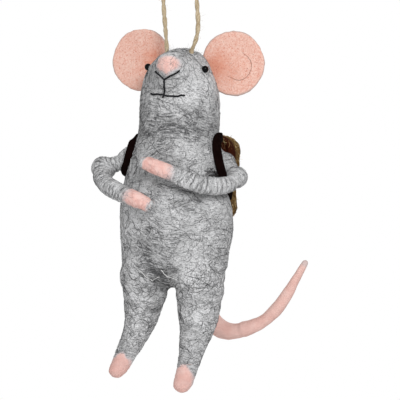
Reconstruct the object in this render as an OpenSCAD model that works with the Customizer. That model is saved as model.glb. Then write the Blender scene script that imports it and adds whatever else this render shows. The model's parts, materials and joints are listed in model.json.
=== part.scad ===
// Wool mouse ornament that hangs from a loop of twine and wears a small felt backpack.
// The origin is the top of the loop. The mouse faces -Y and its left side is +X.
// The tables measure heights up from the soles and depths from the torso's axis, and hung() moves
// every piece so that the loop's top is the origin.

/* [Twine] */
// Diameter of the twine
cord_d = 1.7; // [1.2:0.1:1.8]
// Diameter of the knot that joins the twine's ends inside the head
knot_d = 4.2; // [3.6:0.1:4.6]
// Furthest the mouse swings either way on its loop, in degrees
swing = 30; // [10:1:30]

/* [Head] */
// Diameter of an ear
ear_d = 23.8; // [20:0.5:25]
// Thickness of an ear
ear_t = 2.2; // [1.6:0.1:2.8]
// Diameter of a bead eye
eye_d = 2.5; // [2:0.1:3]
// Thickness of the nose's wool cap
nose_t = 0.5; // [0.3:0.1:0.7]
// Diameter of the stitching thread
thread_d = 0.5; // [0.3:0.05:0.6]
// How far the head leans to the mouse's left, in degrees
head_roll = 3.7; // [0:0.1:5]

/* [Limbs] */
// Radius of the ball at each shoulder
shoulder_r = 3.8; // [3.6:0.1:4]
// Radius of the ball at each elbow
elbow_r = 3.8; // [3.6:0.1:3.9]
// Radius of the ball at each hip
hip_r = 8.6; // [8.4:0.1:8.8]
// Radius of the ball at the tail's root
tail_r = 4.2; // [4:0.1:4.4]
// Radius of the ball where the tail curls
curl_r = 2.9; // [2.8:0.1:3]
// Clearance around every ball
gap = 0.3; // [0.2:0.05:0.4]

/* [Wire] */
// Diameter of the wire inside the limbs
wire_d = 1; // [0.6:0.1:1.2]

/* [Backpack] */
// Width of the bag
pack_w = 30; // [26:0.5:31]
// Height of the bag
pack_h = 29; // [26:0.5:30]
// Distance of the bag's back face behind the mouse's axis
pack_back = 25; // [22:0.5:27]
// Radius of the bag's rounded edges
pack_r = 4; // [3:0.5:5]
// Thickness of the flap's felt
flap_t = 1.4; // [1:0.1:1.8]
// Width of a strap
strap_w = 3; // [2:0.1:3.4]
// Thickness of a strap
strap_t = 1; // [0.8:0.1:1.2]

/* [Hidden] */
$fn = 48;

// Height of the loop's top above the soles, and depth of the loop's plane on the torso's axis
hang_h = 188;
cord_y = -1;
// The loop's route, in the part's own frame: up one strand, over the top and down the other
cord_route = [
    [-4.7, 0, -64.5], [-4.9, 0, -61], [-5.3, 0, -56], [-5.8, 0, -50], [-6.2, 0, -44],
    [-6.6, 0, -38], [-7, 0, -32], [-7.2, 0, -26], [-7.2, 0, -20], [-6.9, 0, -14],
    [-6.1, 0, -8.6], [-4.7, 0, -4.4], [-2.6, 0, -1.8], [0, 0, -0.9], [2.6, 0, -1.8],
    [4.7, 0, -4.4], [6.1, 0, -8.6], [6.9, 0, -14], [7.2, 0, -20], [7.2, 0, -26],
    [7, 0, -32], [6.8, 0, -38], [6.7, 0, -44], [7, 0, -49.5], [7.3, 0, -54],
    [7, 0, -58], [6, 0, -61.6], [4.7, 0, -64.5]
];
cord_x = 4.7;
cord_top = hang_h - 64.5;
run_h = 120.5;
slot_w = cord_d + 4 * gap;
slot_up = 8;

// Head and torso in level slices: height, centre X, centre Y, half width, half depth
torso = [
    [44.5, -1.6, -1.5, 19.6, 13.2], [51, -1.3, -2, 20, 14.2], [57, -0.7, -2.2, 20.9, 14.9],
    [62, -0.7, -2.3, 21, 15.1], [68, -1, -2.1, 20.5, 15], [74, -1.3, -1.7, 19.2, 14.6],
    [80, -1.3, -1.2, 17.7, 14.2], [86, -0.9, -0.8, 16.3, 14], [93, -0.4, -0.3, 14.6, 13.9],
    [100, -0.1, 0, 14.5, 14], [105, 0, 0, 14.5, 14], [110, -0.2, 0.3, 13.9, 13.6],
    [114.6, -0.5, 0.8, 12.3, 12.6], [118, -0.5, 1.2, 10.9, 11.4], [121, 0, 1.5, 8.9, 9.6],
    [123.4, 0.4, 1.8, 5.8, 6.4], [124.8, 0.6, 2, 2, 2.4]
];
torso_sides = 28;
torso_steps = 2;

// The head's own frame, and places in it
head_c = [-0.3, 0, 112];
brow_c = [0, -1, -0.2];
brow_r = 12;
snout_c = [1.8, -16.5, 5.2];
snout_r = 4.6;
ear_c = [17.9, 7.2, 8.6];
ear_turn = 8;
eye_c = [10.75, -3.9, 5.2];
eye_thread_end = eye_c[0] - eye_d / 2 - 0.1;
nose_w = 9.2;
nose_low = -1.4;
nose_high = 4.2;
nose_back = -1.2;

// Stitches along the face
muzzle_v = [
    [-3.6, -16.9, 115.7], [-1.7, -18.3, 114], [-0.4, -18, 112.5], [3.2, -19.4, 113.7],
    [5.9, -18.2, 115.6]
];
muzzle_line = [[-0.4, -18, 112.5], [-1.2, -15.3, 109.7], [-1.7, -13.6, 108]];
mouth = [
    [-7, -10.4, 108.2], [-4.5, -12.1, 107.8], [-2.1, -13, 107.4], [0.4, -13, 106.9],
    [2.5, -12.4, 106.6], [5.3, -11.4, 107.3]
];

// Limb paths as X, Y, height and radius
shoulder_at_l = [15.6, 4, 82.2];
elbow_at_l = [22, -1.2, 77.4];
shoulder_at_r = [-19, 1.5, 85];
elbow_at_r = [-28.6, -3, 81.2];
arm_r = 2.7;
forearm_path_l = [
    [22, -1.2, 77.4, 2.6], [21.3, -7.2, 74.9, 2.7], [17.4, -13.2, 74, 3], [11.6, -17.4, 74.9, 3],
    [5.4, -19.8, 77.6, 2.8], [1.6, -20.4, 79.2, 2.7], [-2.8, -20.2, 80.9, 2.6],
    [-6.4, -19.4, 82.2, 2.3]
];
forearm_path_r = [
    [-28.6, -3, 81.2, 2.8], [-27.4, -8.2, 77.6, 3], [-22.8, -13.8, 74.3, 3.1],
    [-17.4, -17.8, 72.1, 3], [-13, -20, 70.6, 2.8], [-8.6, -21.4, 69, 2.7],
    [-4.6, -21.9, 67.2, 2.3]
];
wrist_l = 5;
wrist_r = 4;
limb_steps = 2;
limb_sides = 14;

hip_at_l = [8.4, -2, 42];
hip_at_r = [-12, -2, 42];
leg_path_l = [
    [8.4, -2, 42, 7.2], [8.2, -2.2, 36.5, 7.7], [8.2, -3, 30.4, 7.6], [7.8, -4, 23.2, 6.3],
    [6.9, -4.8, 18.4, 5.2], [5.9, -6, 12, 4], [5.2, -7.4, 8, 3.5], [4.5, -9, 4.3, 3.3],
    [4.1, -10.2, 3, 2.9]
];
leg_path_r = [
    [-12, -2, 42, 7.2], [-12.5, -2.3, 36.5, 7.3], [-13.3, -3, 31, 6.9], [-13.8, -3.8, 25.8, 5.8],
    [-15.5, -4.6, 20.5, 4.6], [-17.7, -5.6, 15.6, 3.9], [-19.2, -6.6, 12.2, 3.5],
    [-20.4, -8, 9, 3.3], [-21.1, -9, 7.6, 2.9]
];
ankle_l = 6;
ankle_r = 6;
leg_sides = 18;

tail_root = [0, 11.5, 50];
tail_curl = [20.5, 12.6, 21.9];
tail_path = [
    [0, 11.5, 50, 3.5], [0.6, 15.4, 44.6, 3.7], [1.8, 16.8, 37, 3.8], [4.2, 16.4, 29.4, 3.8],
    [8.8, 15, 23.2, 3.7], [14.4, 13.7, 21, 3.1], [20.5, 12.6, 21.9, 2.5], [26.8, 11.7, 24.2, 2.4],
    [32.4, 10.9, 28.4, 2.4], [37.4, 10, 34.5, 2.2], [41.6, 9, 41.1, 1.8], [45, 8, 46.4, 1.2]
];
curl_at = 6;
tail_tip_path = concat(
    [concat(tail_curl, curl_r)], [for (i = [curl_at + 1:len(tail_path) - 1]) tail_path[i]]
);
// Room in the rump for the tail's root
tail_seat = [for (i = [0:2]) tail_path[i] + [0, 0, 0, gap + 0.1]];

// Bag: height of its floor and of the flap's lower edge, and the room kept between it and the back
pack_low = 62.8;
flap_low = 76;
back_gap = 0.2;
felt_gap = 0.05;
pack_front = 9;
pack_top = pack_low + pack_h;
pack_corner = [pack_w / 2 - pack_r, pack_r, pack_h - pack_r];

// Strap paths on the torso as height and angle round it, 0 at the mouse's left and 90 at its back
strap_path_l = [
    [92, 62], [93.6, 38], [93.4, 14], [91, -4], [87, -13], [82, -16], [77, -14], [73.5, -4],
    [71.5, 12], [70.5, 30], [70, 48]
];
strap_path_r = [
    [92, 118], [93.6, 142], [93.4, 166], [91, 184], [87, 193], [82, 196], [77, 194], [73.5, 184],
    [71.5, 168], [70.5, 150], [70, 132]
];
strap_lift = 0.3;
strap_steps = 3;

// Channels for wires and threads are this much wider, and run past each end by channel_over
wire_room = 0.1;
channel_over = 1;
wire_sides = 8;
leg_wire_points_l = [[8.4, -2, 42], [8, -3, 30], [6.7, -5, 17], [5, -7.6, 7.4]];
leg_wire_points_r = [[-12, -2, 42], [-13.2, -3, 30], [-16.4, -5, 18], [-20, -7.4, 10.6]];
hip_wire_rise = 4;
tail_way_in = [0, -0.9, 0.43];
tail_anchor_end = [-0.6, 0.4, 56];

// Points, splines and rings
function xyz(row) = [row[0], row[1], row[2]];
function unit(v) = v / norm(v);
function held(rows, i) = rows[max(0, min(len(rows) - 1, i))];
function spline(a, b, c, d, t) =
    b + 0.5 * t * (c - a + t * (2 * a - 5 * b + 4 * c - d + t * (3 * b - 3 * c + d - a)));
function smooth(rows, steps) = [
    for (i = [0:len(rows) - 2])
        for (k = [0:steps - 1])
            spline(held(rows, i - 1), rows[i], rows[i + 1], held(rows, i + 2), k / steps),
    rows[len(rows) - 1]
];
function heading(rows, i) = unit(xyz(held(rows, i + 1)) - xyz(held(rows, i - 1)));
function ring(c, t, ref, r, sides) =
    let (s = unit(cross(ref, t)), q = cross(t, s))
    [for (k = [0:sides - 1]) c + r * (cos(360 * k / sides) * s + sin(360 * k / sides) * q)];
function dome(row, t, way, ref, sides) = [
    for (f = way > 0 ? [30, 55, 75] : [75, 55, 30])
        ring(xyz(row) + way * row[3] * sin(f) * t, t, ref, row[3] * cos(f), sides)
];
function tube_rings(rows, first, last, ref, sides) = [
    for (i = [first:last])
        ring(xyz(rows[i]), heading(rows, i), ref, rows[i][3], sides)
];
function slice(row, grow) = [
    for (k = [0:torso_sides - 1])
        [
            row[1] + (row[3] + grow) * cos(360 * k / torso_sides),
            row[2] + (row[4] + grow) * sin(360 * k / torso_sides),
            row[0]
        ]
];
torso_rows = smooth(torso, torso_steps);

// Wire paths, each flush with the ball or the cup that it meets
function points_of(path, first, last) = [for (i = [first:last]) xyz(path[i])];
function forearm_wire_path(path, shoulder) =
    concat(
        [xyz(path[0]) + elbow_r * unit(shoulder - xyz(path[0]))],
        points_of(path, 0, len(path) - 2)
    );
across_shoulders = unit(shoulder_at_l - shoulder_at_r);
forearm_wire_path_l = forearm_wire_path(forearm_path_l, shoulder_at_l);
forearm_wire_path_r = forearm_wire_path(forearm_path_r, shoulder_at_r);
leg_wire_path_l = concat([hip_at_l + [0, 0, hip_r]], leg_wire_points_l);
leg_wire_path_r = concat([hip_at_r + [0, 0, hip_r]], leg_wire_points_r);
hip_wire_path = [
    hip_at_l + [0, 0, hip_r + gap], hip_at_l + [-1, 0, hip_r + hip_wire_rise],
    hip_at_r + [1, 0, hip_r + hip_wire_rise], hip_at_r + [0, 0, hip_r + gap]
];
tail_anchor_path = [tail_root + (tail_r + gap) * tail_way_in, [-0.2, 3.6, 53], tail_anchor_end];
curl_way = unit(xyz(tail_path[curl_at - 1]) - tail_curl);
tail_base_wire_path = concat(
    [tail_root + tail_r * tail_way_in], points_of(tail_path, 0, curl_at - 1),
    [tail_curl + (curl_r + gap) * curl_way]
);
tail_tip_wire_path =
    concat([tail_curl + curl_r * curl_way], points_of(tail_path, curl_at, len(tail_path) - 2));

function torso_value(h, column) = lookup(h, [for (row = torso_rows) [row[0], row[column]]]);
function on_torso(h, angle, lift) = [
    torso_value(h, 1) + (torso_value(h, 3) + lift) * cos(angle),
    torso_value(h, 2) + (torso_value(h, 4) + lift) * sin(angle),
    h
];

// A closed solid through rings of points that run counter-clockwise about the way they advance
module skin(rings) {
    n = len(rings[0]);
    last = len(rings) - 1;
    sides = [
        for (i = [0:last - 1])
            for (k = [0:n - 1])
                let (a = i * n + k, b = i * n + (k + 1) % n)
                each [[a, a + n, b + n], [a, b + n, b]]
    ];
    polyhedron(
        points = [for (r = rings) each r],
        faces = concat([[for (k = [0:n - 1]) k]], sides, [[for (k = [n - 1:-1:0]) last * n + k]])
    );
}

module hung() {
    translate([0, -cord_y, -hang_h]) children();
}

module in_head() {
    translate(head_c) rotate([0, head_roll, 0]) children();
}

// Stands children that rise along Z at a, leaning towards b
module towards(a, b) {
    v = b - a;
    translate(a) rotate([0, acos(v[2] / norm(v)), atan2(v[1], v[0])]) children();
}

module rod(a, b, d) {
    towards(a, b) cylinder(h = norm(b - a), d = d);
}

// A thin round wire or thread through points, with both ends lengthened by over
module wire_solid(points, d, ref, over = 0) {
    line = smooth(points, limb_steps);
    last = len(line) - 1;
    before = over > 0 ? [line[0] + over * unit(line[0] - line[1])] : [];
    after = over > 0 ? [line[last] + over * unit(line[last] - line[last - 1])] : [];
    rows = [for (p = concat(before, line, after)) concat(p, d / 2)];
    skin(tube_rings(rows, 0, len(rows) - 1, ref, wire_sides));
}

module channel(points, d, ref) {
    wire_solid(points, d + wire_room, ref, channel_over);
}

// Twine
function cord_rings(sides) =
    let (rows = smooth(cord_route, 2))
    [for (i = [0:len(rows) - 1]) ring(rows[i], cord_way(rows, i), [0, 1, 0], cord_d / 2, sides)];
function cord_way(rows, i) =
    i == 0 ? [0, 0, 1] : i == len(rows) - 1 ? [0, 0, -1] : heading(rows, i);

module hanging_cord() {
    color("burlywood") skin(cord_rings(8));
}

module cord_inner_run() {
    color("burlywood")
        hung()
            difference() {
                union() {
                    rod([-cord_x, cord_y, run_h], [cord_x, cord_y, run_h], cord_d);
                    for (side = [-1, 1]) {
                        translate([side * cord_x, cord_y, run_h]) sphere(d = cord_d);
                        rod([side * cord_x, cord_y, run_h], [side * cord_x, cord_y, cord_top], cord_d);
                    }
                }
                translate([0, cord_y, run_h]) sphere(d = knot_d);
            }
}

module cord_knot() {
    color("burlywood") hung() translate([0, cord_y, run_h]) sphere(d = knot_d);
}

// Room in the head for the twine: a bore for the buried run and a slot that widens towards the crown
module cord_room() {
    bore_r = cord_d / 2 + gap;
    slot_top = bore_r + 0.3 + slot_up * tan(swing + 6);
    rod([-cord_x, cord_y, run_h], [cord_x, cord_y, run_h], 2 * bore_r);
    translate([0, cord_y, run_h]) sphere(d = knot_d + 2 * gap);
    for (side = [-1, 1])
        translate([side * cord_x - slot_w / 2, cord_y, run_h])
            rotate([90, 0, 90])
                linear_extrude(slot_w)
                    polygon([
                        [-bore_r - 0.3, -bore_r - 0.3], [bore_r + 0.3, -bore_r - 0.3],
                        [slot_top, slot_up], [-slot_top, slot_up]
                    ]);
}

// Head and torso
module torso_solid(grow = 0) {
    skin([for (row = torso_rows) slice(row, grow)]);
}

module snout(grow = 0) {
    in_head()
        hull() {
            translate(brow_c) sphere(brow_r + grow, $fn = 32);
            translate(snout_c) sphere(snout_r + grow, $fn = 32);
        }
}

module body_wool() {
    color("darkgray")
        hung()
            difference() {
                union() {
                    torso_solid();
                    snout();
                }
                cord_room();
                for (side = [-1, 1]) {
                    ear_shape(side, wire_room);
                    eye_shape(side, wire_room);
                }
                thread_rod(thread_d + wire_room);
                for (path = [muzzle_v, muzzle_line, mouth]) channel(path, thread_d, [0, 1, 0]);
                for (ball = [shoulder_at_l, shoulder_at_r]) translate(ball) sphere(shoulder_r + gap);
                for (ball = [hip_at_l, hip_at_r]) translate(ball) sphere(hip_r + gap);
                rod(shoulder_at_l, elbow_at_l, 2 * (arm_r + gap));
                rod(shoulder_at_r, elbow_at_r, 2 * (arm_r + gap));
                translate(tail_root) sphere(tail_r + gap);
                limb(tail_seat, 0, (len(tail_seat) - 1) * limb_steps, limb_sides, [0, 1, 0], false, false);
                shoulder_rod(wire_d + wire_room, channel_over);
                channel(hip_wire_path, wire_d, [0, 1, 0]);
                channel(tail_anchor_path, wire_d, [1, 0, 0]);
            }
}

// A round felt disc with a rounded rim
module ear_shape(side, grow = 0) {
    half = (ear_t + grow) / 2;
    in_head()
        translate([side * ear_c[0], ear_c[1], ear_c[2]])
            rotate([90, 0, side * ear_turn])
                rotate_extrude()
                    union() {
                        translate([0, -half]) square([ear_d / 2 - half, 2 * half]);
                        translate([ear_d / 2 - half, 0])
                            intersection() {
                                circle(half + grow);
                                translate([-ear_t, -half]) square([3 * ear_t, 2 * half]);
                            }
                    }
}

module ear_left() {
    color("pink") hung() ear_shape(1);
}

module ear_right() {
    color("pink") hung() ear_shape(-1);
}

module nose() {
    color("lightpink")
        hung()
            difference() {
                in_head()
                    translate(snout_c)
                        intersection() {
                            sphere(snout_r + nose_t);
                            translate([-nose_w / 2, -2 * snout_r, nose_low])
                                cube([nose_w, 2 * snout_r + nose_back, nose_high - nose_low]);
                        }
                snout(felt_gap);
                channel(muzzle_v, thread_d, [0, 1, 0]);
            }
}

module eye_shape(side, grow = 0) {
    in_head() translate([side * eye_c[0], eye_c[1], eye_c[2]]) sphere(d = eye_d + grow);
}

module eye_left() {
    color("black") hung() eye_shape(1);
}

module eye_right() {
    color("black") hung() eye_shape(-1);
}

module thread_rod(d) {
    in_head() rod([-eye_thread_end, eye_c[1], eye_c[2]], [eye_thread_end, eye_c[1], eye_c[2]], d);
}

module eye_thread() {
    color("black") hung() thread_rod(thread_d);
}

module muzzle_stitch() {
    color("black")
        hung() {
            wire_solid(muzzle_v, thread_d, [0, 1, 0]);
            wire_solid(muzzle_line, thread_d, [0, 1, 0]);
        }
}

module mouth_stitch() {
    color("black") hung() wire_solid(mouth, thread_d, [0, 1, 0]);
}

// Arms
module upper_arm(shoulder, elbow) {
    reach = norm(elbow - shoulder);
    color("darkgray")
        hung()
            towards(shoulder, elbow)
                difference() {
                    union() {
                        cylinder(h = reach, r = arm_r);
                        sphere(shoulder_r);
                    }
                    translate([0, 0, reach]) sphere(elbow_r + gap);
                    cylinder(h = reach, d = wire_d + wire_room);
                }
}

module upper_arm_wire(shoulder, elbow) {
    way = unit(elbow - shoulder);
    color("silver") hung() rod(shoulder, elbow - (elbow_r + gap) * way, wire_d);
}

module limb(path, first, last, sides, ref, round_first, round_last) {
    rows = smooth(path, limb_steps);
    skin(
        concat(
            round_first ? dome(rows[first], heading(rows, first), -1, ref, sides) : [],
            tube_rings(rows, first, last, ref, sides),
            round_last ? dome(rows[last], heading(rows, last), 1, ref, sides) : []
        )
    );
}

module forearm(path, wrist, elbow, wire) {
    color("darkgray")
        hung()
            difference() {
                union() {
                    limb(path, 0, wrist * limb_steps, limb_sides, [0, 0, 1], false, false);
                    translate(elbow) sphere(elbow_r);
                }
                channel(wire, wire_d, [0, 0, 1]);
            }
}

module paw(path, wrist, wire) {
    last = (len(path) - 1) * limb_steps;
    color("pink")
        hung()
            difference() {
                limb(path, wrist * limb_steps, last, limb_sides, [0, 0, 1], false, true);
                channel(wire, wire_d, [0, 0, 1]);
            }
}

module upper_arm_left() {
    upper_arm(shoulder_at_l, elbow_at_l);
}

module upper_arm_right() {
    upper_arm(shoulder_at_r, elbow_at_r);
}

module forearm_left() {
    forearm(forearm_path_l, wrist_l, elbow_at_l, forearm_wire_path_l);
}

module forearm_right() {
    forearm(forearm_path_r, wrist_r, elbow_at_r, forearm_wire_path_r);
}

module paw_left() {
    paw(forearm_path_l, wrist_l, forearm_wire_path_l);
}

module paw_right() {
    paw(forearm_path_r, wrist_r, forearm_wire_path_r);
}

// Legs
module leg(path, ankle, hip, wire) {
    color("darkgray")
        hung()
            difference() {
                union() {
                    limb(path, 0, ankle * limb_steps, leg_sides, [0, 1, 0], false, false);
                    translate(hip) sphere(hip_r);
                }
                channel(wire, wire_d, [0, 1, 0]);
            }
}

module foot(path, ankle, wire) {
    last = (len(path) - 1) * limb_steps;
    color("pink")
        hung()
            difference() {
                limb(path, ankle * limb_steps, last, leg_sides, [0, 1, 0], false, true);
                channel(wire, wire_d, [0, 1, 0]);
            }
}

module leg_left() {
    leg(leg_path_l, ankle_l, hip_at_l, leg_wire_path_l);
}

module leg_right() {
    leg(leg_path_r, ankle_r, hip_at_r, leg_wire_path_r);
}

module foot_left() {
    foot(leg_path_l, ankle_l, leg_wire_path_l);
}

module foot_right() {
    foot(leg_path_r, ankle_r, leg_wire_path_r);
}

// Tail
module tail_base() {
    color("pink")
        hung()
            difference() {
                union() {
                    limb(tail_path, 0, curl_at * limb_steps, limb_sides, [0, 1, 0], false, false);
                    translate(tail_root) sphere(tail_r);
                }
                translate(tail_curl) sphere(curl_r + gap);
                channel(tail_base_wire_path, wire_d, [0, 1, 0]);
            }
}

module tail_tip() {
    last = (len(tail_tip_path) - 1) * limb_steps;
    color("pink")
        hung()
            difference() {
                limb(tail_tip_path, 0, last, limb_sides, [0, 1, 0], true, true);
                channel(tail_tip_wire_path, wire_d, [0, 1, 0]);
            }
}

// Wires
module shoulder_rod(d, over = 0) {
    reach = shoulder_r + gap - over;
    rod(shoulder_at_r + reach * across_shoulders, shoulder_at_l - reach * across_shoulders, d);
}

module shoulder_wire() {
    color("silver") hung() shoulder_rod(wire_d);
}

module wire(points, ref) {
    color("silver") hung() wire_solid(points, wire_d, ref);
}

// Backpack
module rounded_bag(grow) {
    hull()
        for (x = [-1, 1])
            for (z = [pack_low + pack_r, pack_top - pack_r])
                translate([x * pack_corner[0], 0, z]) {
                    translate([0, pack_front, 0])
                        rotate([-90, 0, 0])
                            cylinder(h = 1, r = pack_r + grow, $fn = 24);
                    translate([0, pack_back - pack_r, 0]) sphere(pack_r + grow, $fn = 24);
                }
}

module backpack_bag() {
    color("saddlebrown")
        hung()
            difference() {
                rounded_bag(0);
                torso_solid(back_gap);
            }
}

module under_flap(grow) {
    intersection() {
        rounded_bag(flap_t + grow);
        translate([-pack_w, pack_front - grow, flap_low - grow]) cube([2 * pack_w, 40, 40]);
    }
}

module backpack_flap() {
    color("olive")
        hung()
            difference() {
                under_flap(0);
                rounded_bag(felt_gap);
                torso_solid(back_gap);
            }
}

function out_of_torso(h, angle) =
    unit(
        cross(
            on_torso(h, angle + 2, 0) - on_torso(h, angle - 2, 0),
            on_torso(h + 1, angle, 0) - on_torso(h - 1, angle, 0)
        )
    );
function strap_ring(rows, i) =
    let (
        lift = strap_lift + strap_t / 2,
        here = on_torso(rows[i][0], rows[i][1], lift),
        before = on_torso(held(rows, i - 1)[0], held(rows, i - 1)[1], lift),
        after = on_torso(held(rows, i + 1)[0], held(rows, i + 1)[1], lift),
        t = unit(after - before),
        across = unit(cross(t, out_of_torso(rows[i][0], rows[i][1]))),
        up = cross(across, t)
    )
    [
        for (c = [[-1, -1], [1, -1], [1, 1], [-1, 1]])
            here - across * c[0] * strap_w / 2 + up * c[1] * strap_t / 2
    ];

module strap(path) {
    rows = smooth(path, strap_steps);
    color("saddlebrown")
        hung()
            difference() {
                skin([for (i = [0:len(rows) - 1]) strap_ring(rows, i)]);
                rounded_bag(felt_gap);
                under_flap(felt_gap);
            }
}

hanging_cord();
cord_inner_run();
cord_knot();
body_wool();
ear_left();
ear_right();
nose();
eye_left();
eye_right();
eye_thread();
muzzle_stitch();
mouth_stitch();
upper_arm_left();
forearm_left();
paw_left();
upper_arm_right();
forearm_right();
paw_right();
leg_left();
foot_left();
leg_right();
foot_right();
tail_base();
tail_tip();
shoulder_wire();
wire(hip_wire_path, [0, 1, 0]);  // hip_wire
wire(tail_anchor_path, [1, 0, 0]);  // tail_anchor_wire
upper_arm_wire(shoulder_at_l, elbow_at_l);  // upper_arm_wire_left
upper_arm_wire(shoulder_at_r, elbow_at_r);  // upper_arm_wire_right
wire(forearm_wire_path_l, [0, 0, 1]);  // forearm_wire_left
wire(forearm_wire_path_r, [0, 0, 1]);  // forearm_wire_right
wire(leg_wire_path_l, [0, 1, 0]);  // leg_wire_left
wire(leg_wire_path_r, [0, 1, 0]);  // leg_wire_right
wire(tail_base_wire_path, [0, 1, 0]);  // tail_base_wire
wire(tail_tip_wire_path, [0, 1, 0]);  // tail_tip_wire
backpack_bag();
backpack_flap();
strap(strap_path_l);  // strap_left
strap(strap_path_r);  // strap_right
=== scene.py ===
"""Looks of a felted wool mouse that hangs from a loop of twine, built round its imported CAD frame.

Shapes are worked out in millimetres in the frame's own axes: the origin is the loop's top, the mouse
faces -Y and its left side is +X. Wool surfaces start from copies of the CAD nodes.
"""
import json
import math

import bpy
import numpy as np
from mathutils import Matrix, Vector
from mathutils.bvhtree import BVHTree
from mathutils.kdtree import KDTree


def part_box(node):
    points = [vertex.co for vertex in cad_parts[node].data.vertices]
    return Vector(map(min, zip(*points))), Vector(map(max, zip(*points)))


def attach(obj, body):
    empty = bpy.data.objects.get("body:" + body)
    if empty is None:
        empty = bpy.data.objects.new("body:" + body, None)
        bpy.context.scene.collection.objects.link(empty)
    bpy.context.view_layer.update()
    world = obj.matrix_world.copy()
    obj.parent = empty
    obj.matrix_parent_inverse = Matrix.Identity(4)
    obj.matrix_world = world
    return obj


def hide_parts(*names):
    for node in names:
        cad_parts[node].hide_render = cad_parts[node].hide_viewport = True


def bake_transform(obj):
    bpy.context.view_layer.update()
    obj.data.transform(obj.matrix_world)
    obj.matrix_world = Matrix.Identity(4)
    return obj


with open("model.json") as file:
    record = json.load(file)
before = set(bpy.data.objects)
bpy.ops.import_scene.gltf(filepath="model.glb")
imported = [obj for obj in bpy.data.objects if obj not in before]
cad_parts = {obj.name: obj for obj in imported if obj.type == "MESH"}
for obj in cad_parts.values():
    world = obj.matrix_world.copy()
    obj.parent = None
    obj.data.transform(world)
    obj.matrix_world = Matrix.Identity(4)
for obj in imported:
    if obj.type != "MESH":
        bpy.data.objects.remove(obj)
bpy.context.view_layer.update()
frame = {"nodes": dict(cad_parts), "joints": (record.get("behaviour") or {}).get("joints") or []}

MM = 0.001
HANG = 188.0  # the loop's top above the soles
CORD_Y = -1.0  # depth of the loop's plane on the torso's axis
X_AXIS, Y_AXIS, Z_AXIS = np.eye(3)
JOINTS = {joint["name"]: joint for joint in frame["joints"]}
CENTRE_LINE = np.array([0.0, -CORD_Y])  # the torso's upright axis


# ---------------------------------------------------------------- numbers


def at(x, y, height):
    """A point given from the torso's axis and the soles, in the frame."""
    return np.array([x, y - CORD_Y, height - HANG])


def unit(v):
    v = np.asarray(v, float)
    return v / np.maximum(np.linalg.norm(v, axis=-1, keepdims=True), 1e-9)


def pivot(joint):
    return np.array(JOINTS[joint]["pos_m"]) / MM


def centre_of(node):
    low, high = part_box(node)
    return np.array((low + high) / 2) / MM


def ease(x, low, high):
    """0 below low, 1 above high and smooth between."""
    t = np.clip((np.asarray(x, float) - low) / (high - low), 0, 1)
    return t * t * (3 - 2 * t)


def cell_value(cell, seed):
    """A fixed number from -1 to 1 for each whole-number cell of space."""
    mixed = cell[..., 0] * 73856093 ^ cell[..., 1] * 19349663 ^ cell[..., 2] * 83492791
    mixed = (mixed ^ (seed * 7919 + 12345)) & 0xFFFFFFFF
    mixed = ((mixed ^ (mixed >> 15)) * 2246822519) & 0xFFFFFFFF
    mixed = ((mixed ^ (mixed >> 13)) * 3266489917) & 0xFFFFFFFF
    return ((mixed ^ (mixed >> 16)) & 0xFFFF) / 32767.5 - 1


def noise(points, seed, octaves=1):
    """Smooth noise from about -1 to 1 over space."""
    total, size = 0.0, 1.0
    for octave in range(octaves):
        p = np.asarray(points, float) * 2**octave + 31.7 * octave
        cell = np.floor(p).astype(np.int64)
        f = p - cell
        f = f * f * (3 - 2 * f)
        value = 0.0
        for corner in np.ndindex(2, 2, 2):
            share = np.prod(np.where(corner, f, 1 - f), axis=-1)
            value = value + share * cell_value(cell + np.array(corner), seed + octave)
        total = total + size * value
        size /= 2
    return total


def spline(points, count):
    """Evenly spaced points on a smooth curve through the given ones."""
    points = np.asarray(points, float)
    ends = np.vstack([2 * points[0] - points[1], points, 2 * points[-1] - points[-2]])
    t = np.linspace(0, 1, 16, endpoint=False)[:, None]
    made = []
    for a, b, c, d in zip(ends, ends[1:], ends[2:], ends[3:]):
        made.append(b + 0.5 * t * (c - a + t * (2 * a - 5 * b + 4 * c - d + t * (3 * b - 3 * c + d - a))))
    fine = np.vstack(made + [points[-1:]])
    along = distances(fine)
    where = np.linspace(0, along[-1], count)
    return np.stack([np.interp(where, along, fine[:, k]) for k in range(points.shape[1])], axis=1)


def distances(line):
    """How far along a line each of its points lies."""
    return np.concatenate([[0], np.cumsum(np.linalg.norm(np.diff(line[:, :3], axis=0), axis=1))])


def length_of(line):
    return float(distances(line)[-1])


# ---------------------------------------------------------------- surfaces


def arrays_of(mesh):
    """Vertices in the mesh's own unit, and its faces, all with the same number of corners."""
    points = np.zeros(len(mesh.vertices) * 3)
    mesh.vertices.foreach_get("co", points)
    corners = np.zeros(len(mesh.loops), int)
    mesh.loops.foreach_get("vertex_index", corners)
    return points.reshape(-1, 3), corners.reshape(len(mesh.polygons), -1)


def cad_shape(node):
    """A copy of a CAD node's vertices, in millimetres, and its triangles."""
    mesh = frame["nodes"][node].data
    mesh.calc_loop_triangles()
    triangles = np.zeros(len(mesh.loop_triangles) * 3, int)
    mesh.loop_triangles.foreach_get("vertices", triangles)
    points = np.zeros(len(mesh.vertices) * 3)
    mesh.vertices.foreach_get("co", points)
    return points.reshape(-1, 3) / MM, triangles.reshape(-1, 3)


def ball(centre, radius, rings=16):
    """A round lump of wool as vertices and triangles."""
    turn = np.linspace(0, 2 * np.pi, 2 * rings, endpoint=False)
    up = np.linspace(-np.pi / 2, np.pi / 2, rings + 1)
    points = np.stack(
        [
            np.cos(up)[:, None] * np.cos(turn),
            np.cos(up)[:, None] * np.sin(turn),
            np.sin(up)[:, None] + 0 * turn,
        ],
        axis=-1,
    )
    faces = grid_faces(rings + 1, 2 * rings, True)
    triangles = np.vstack([faces[:, [0, 1, 2]], faces[:, [0, 2, 3]]])
    return points.reshape(-1, 3) * radius + centre, triangles


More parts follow.
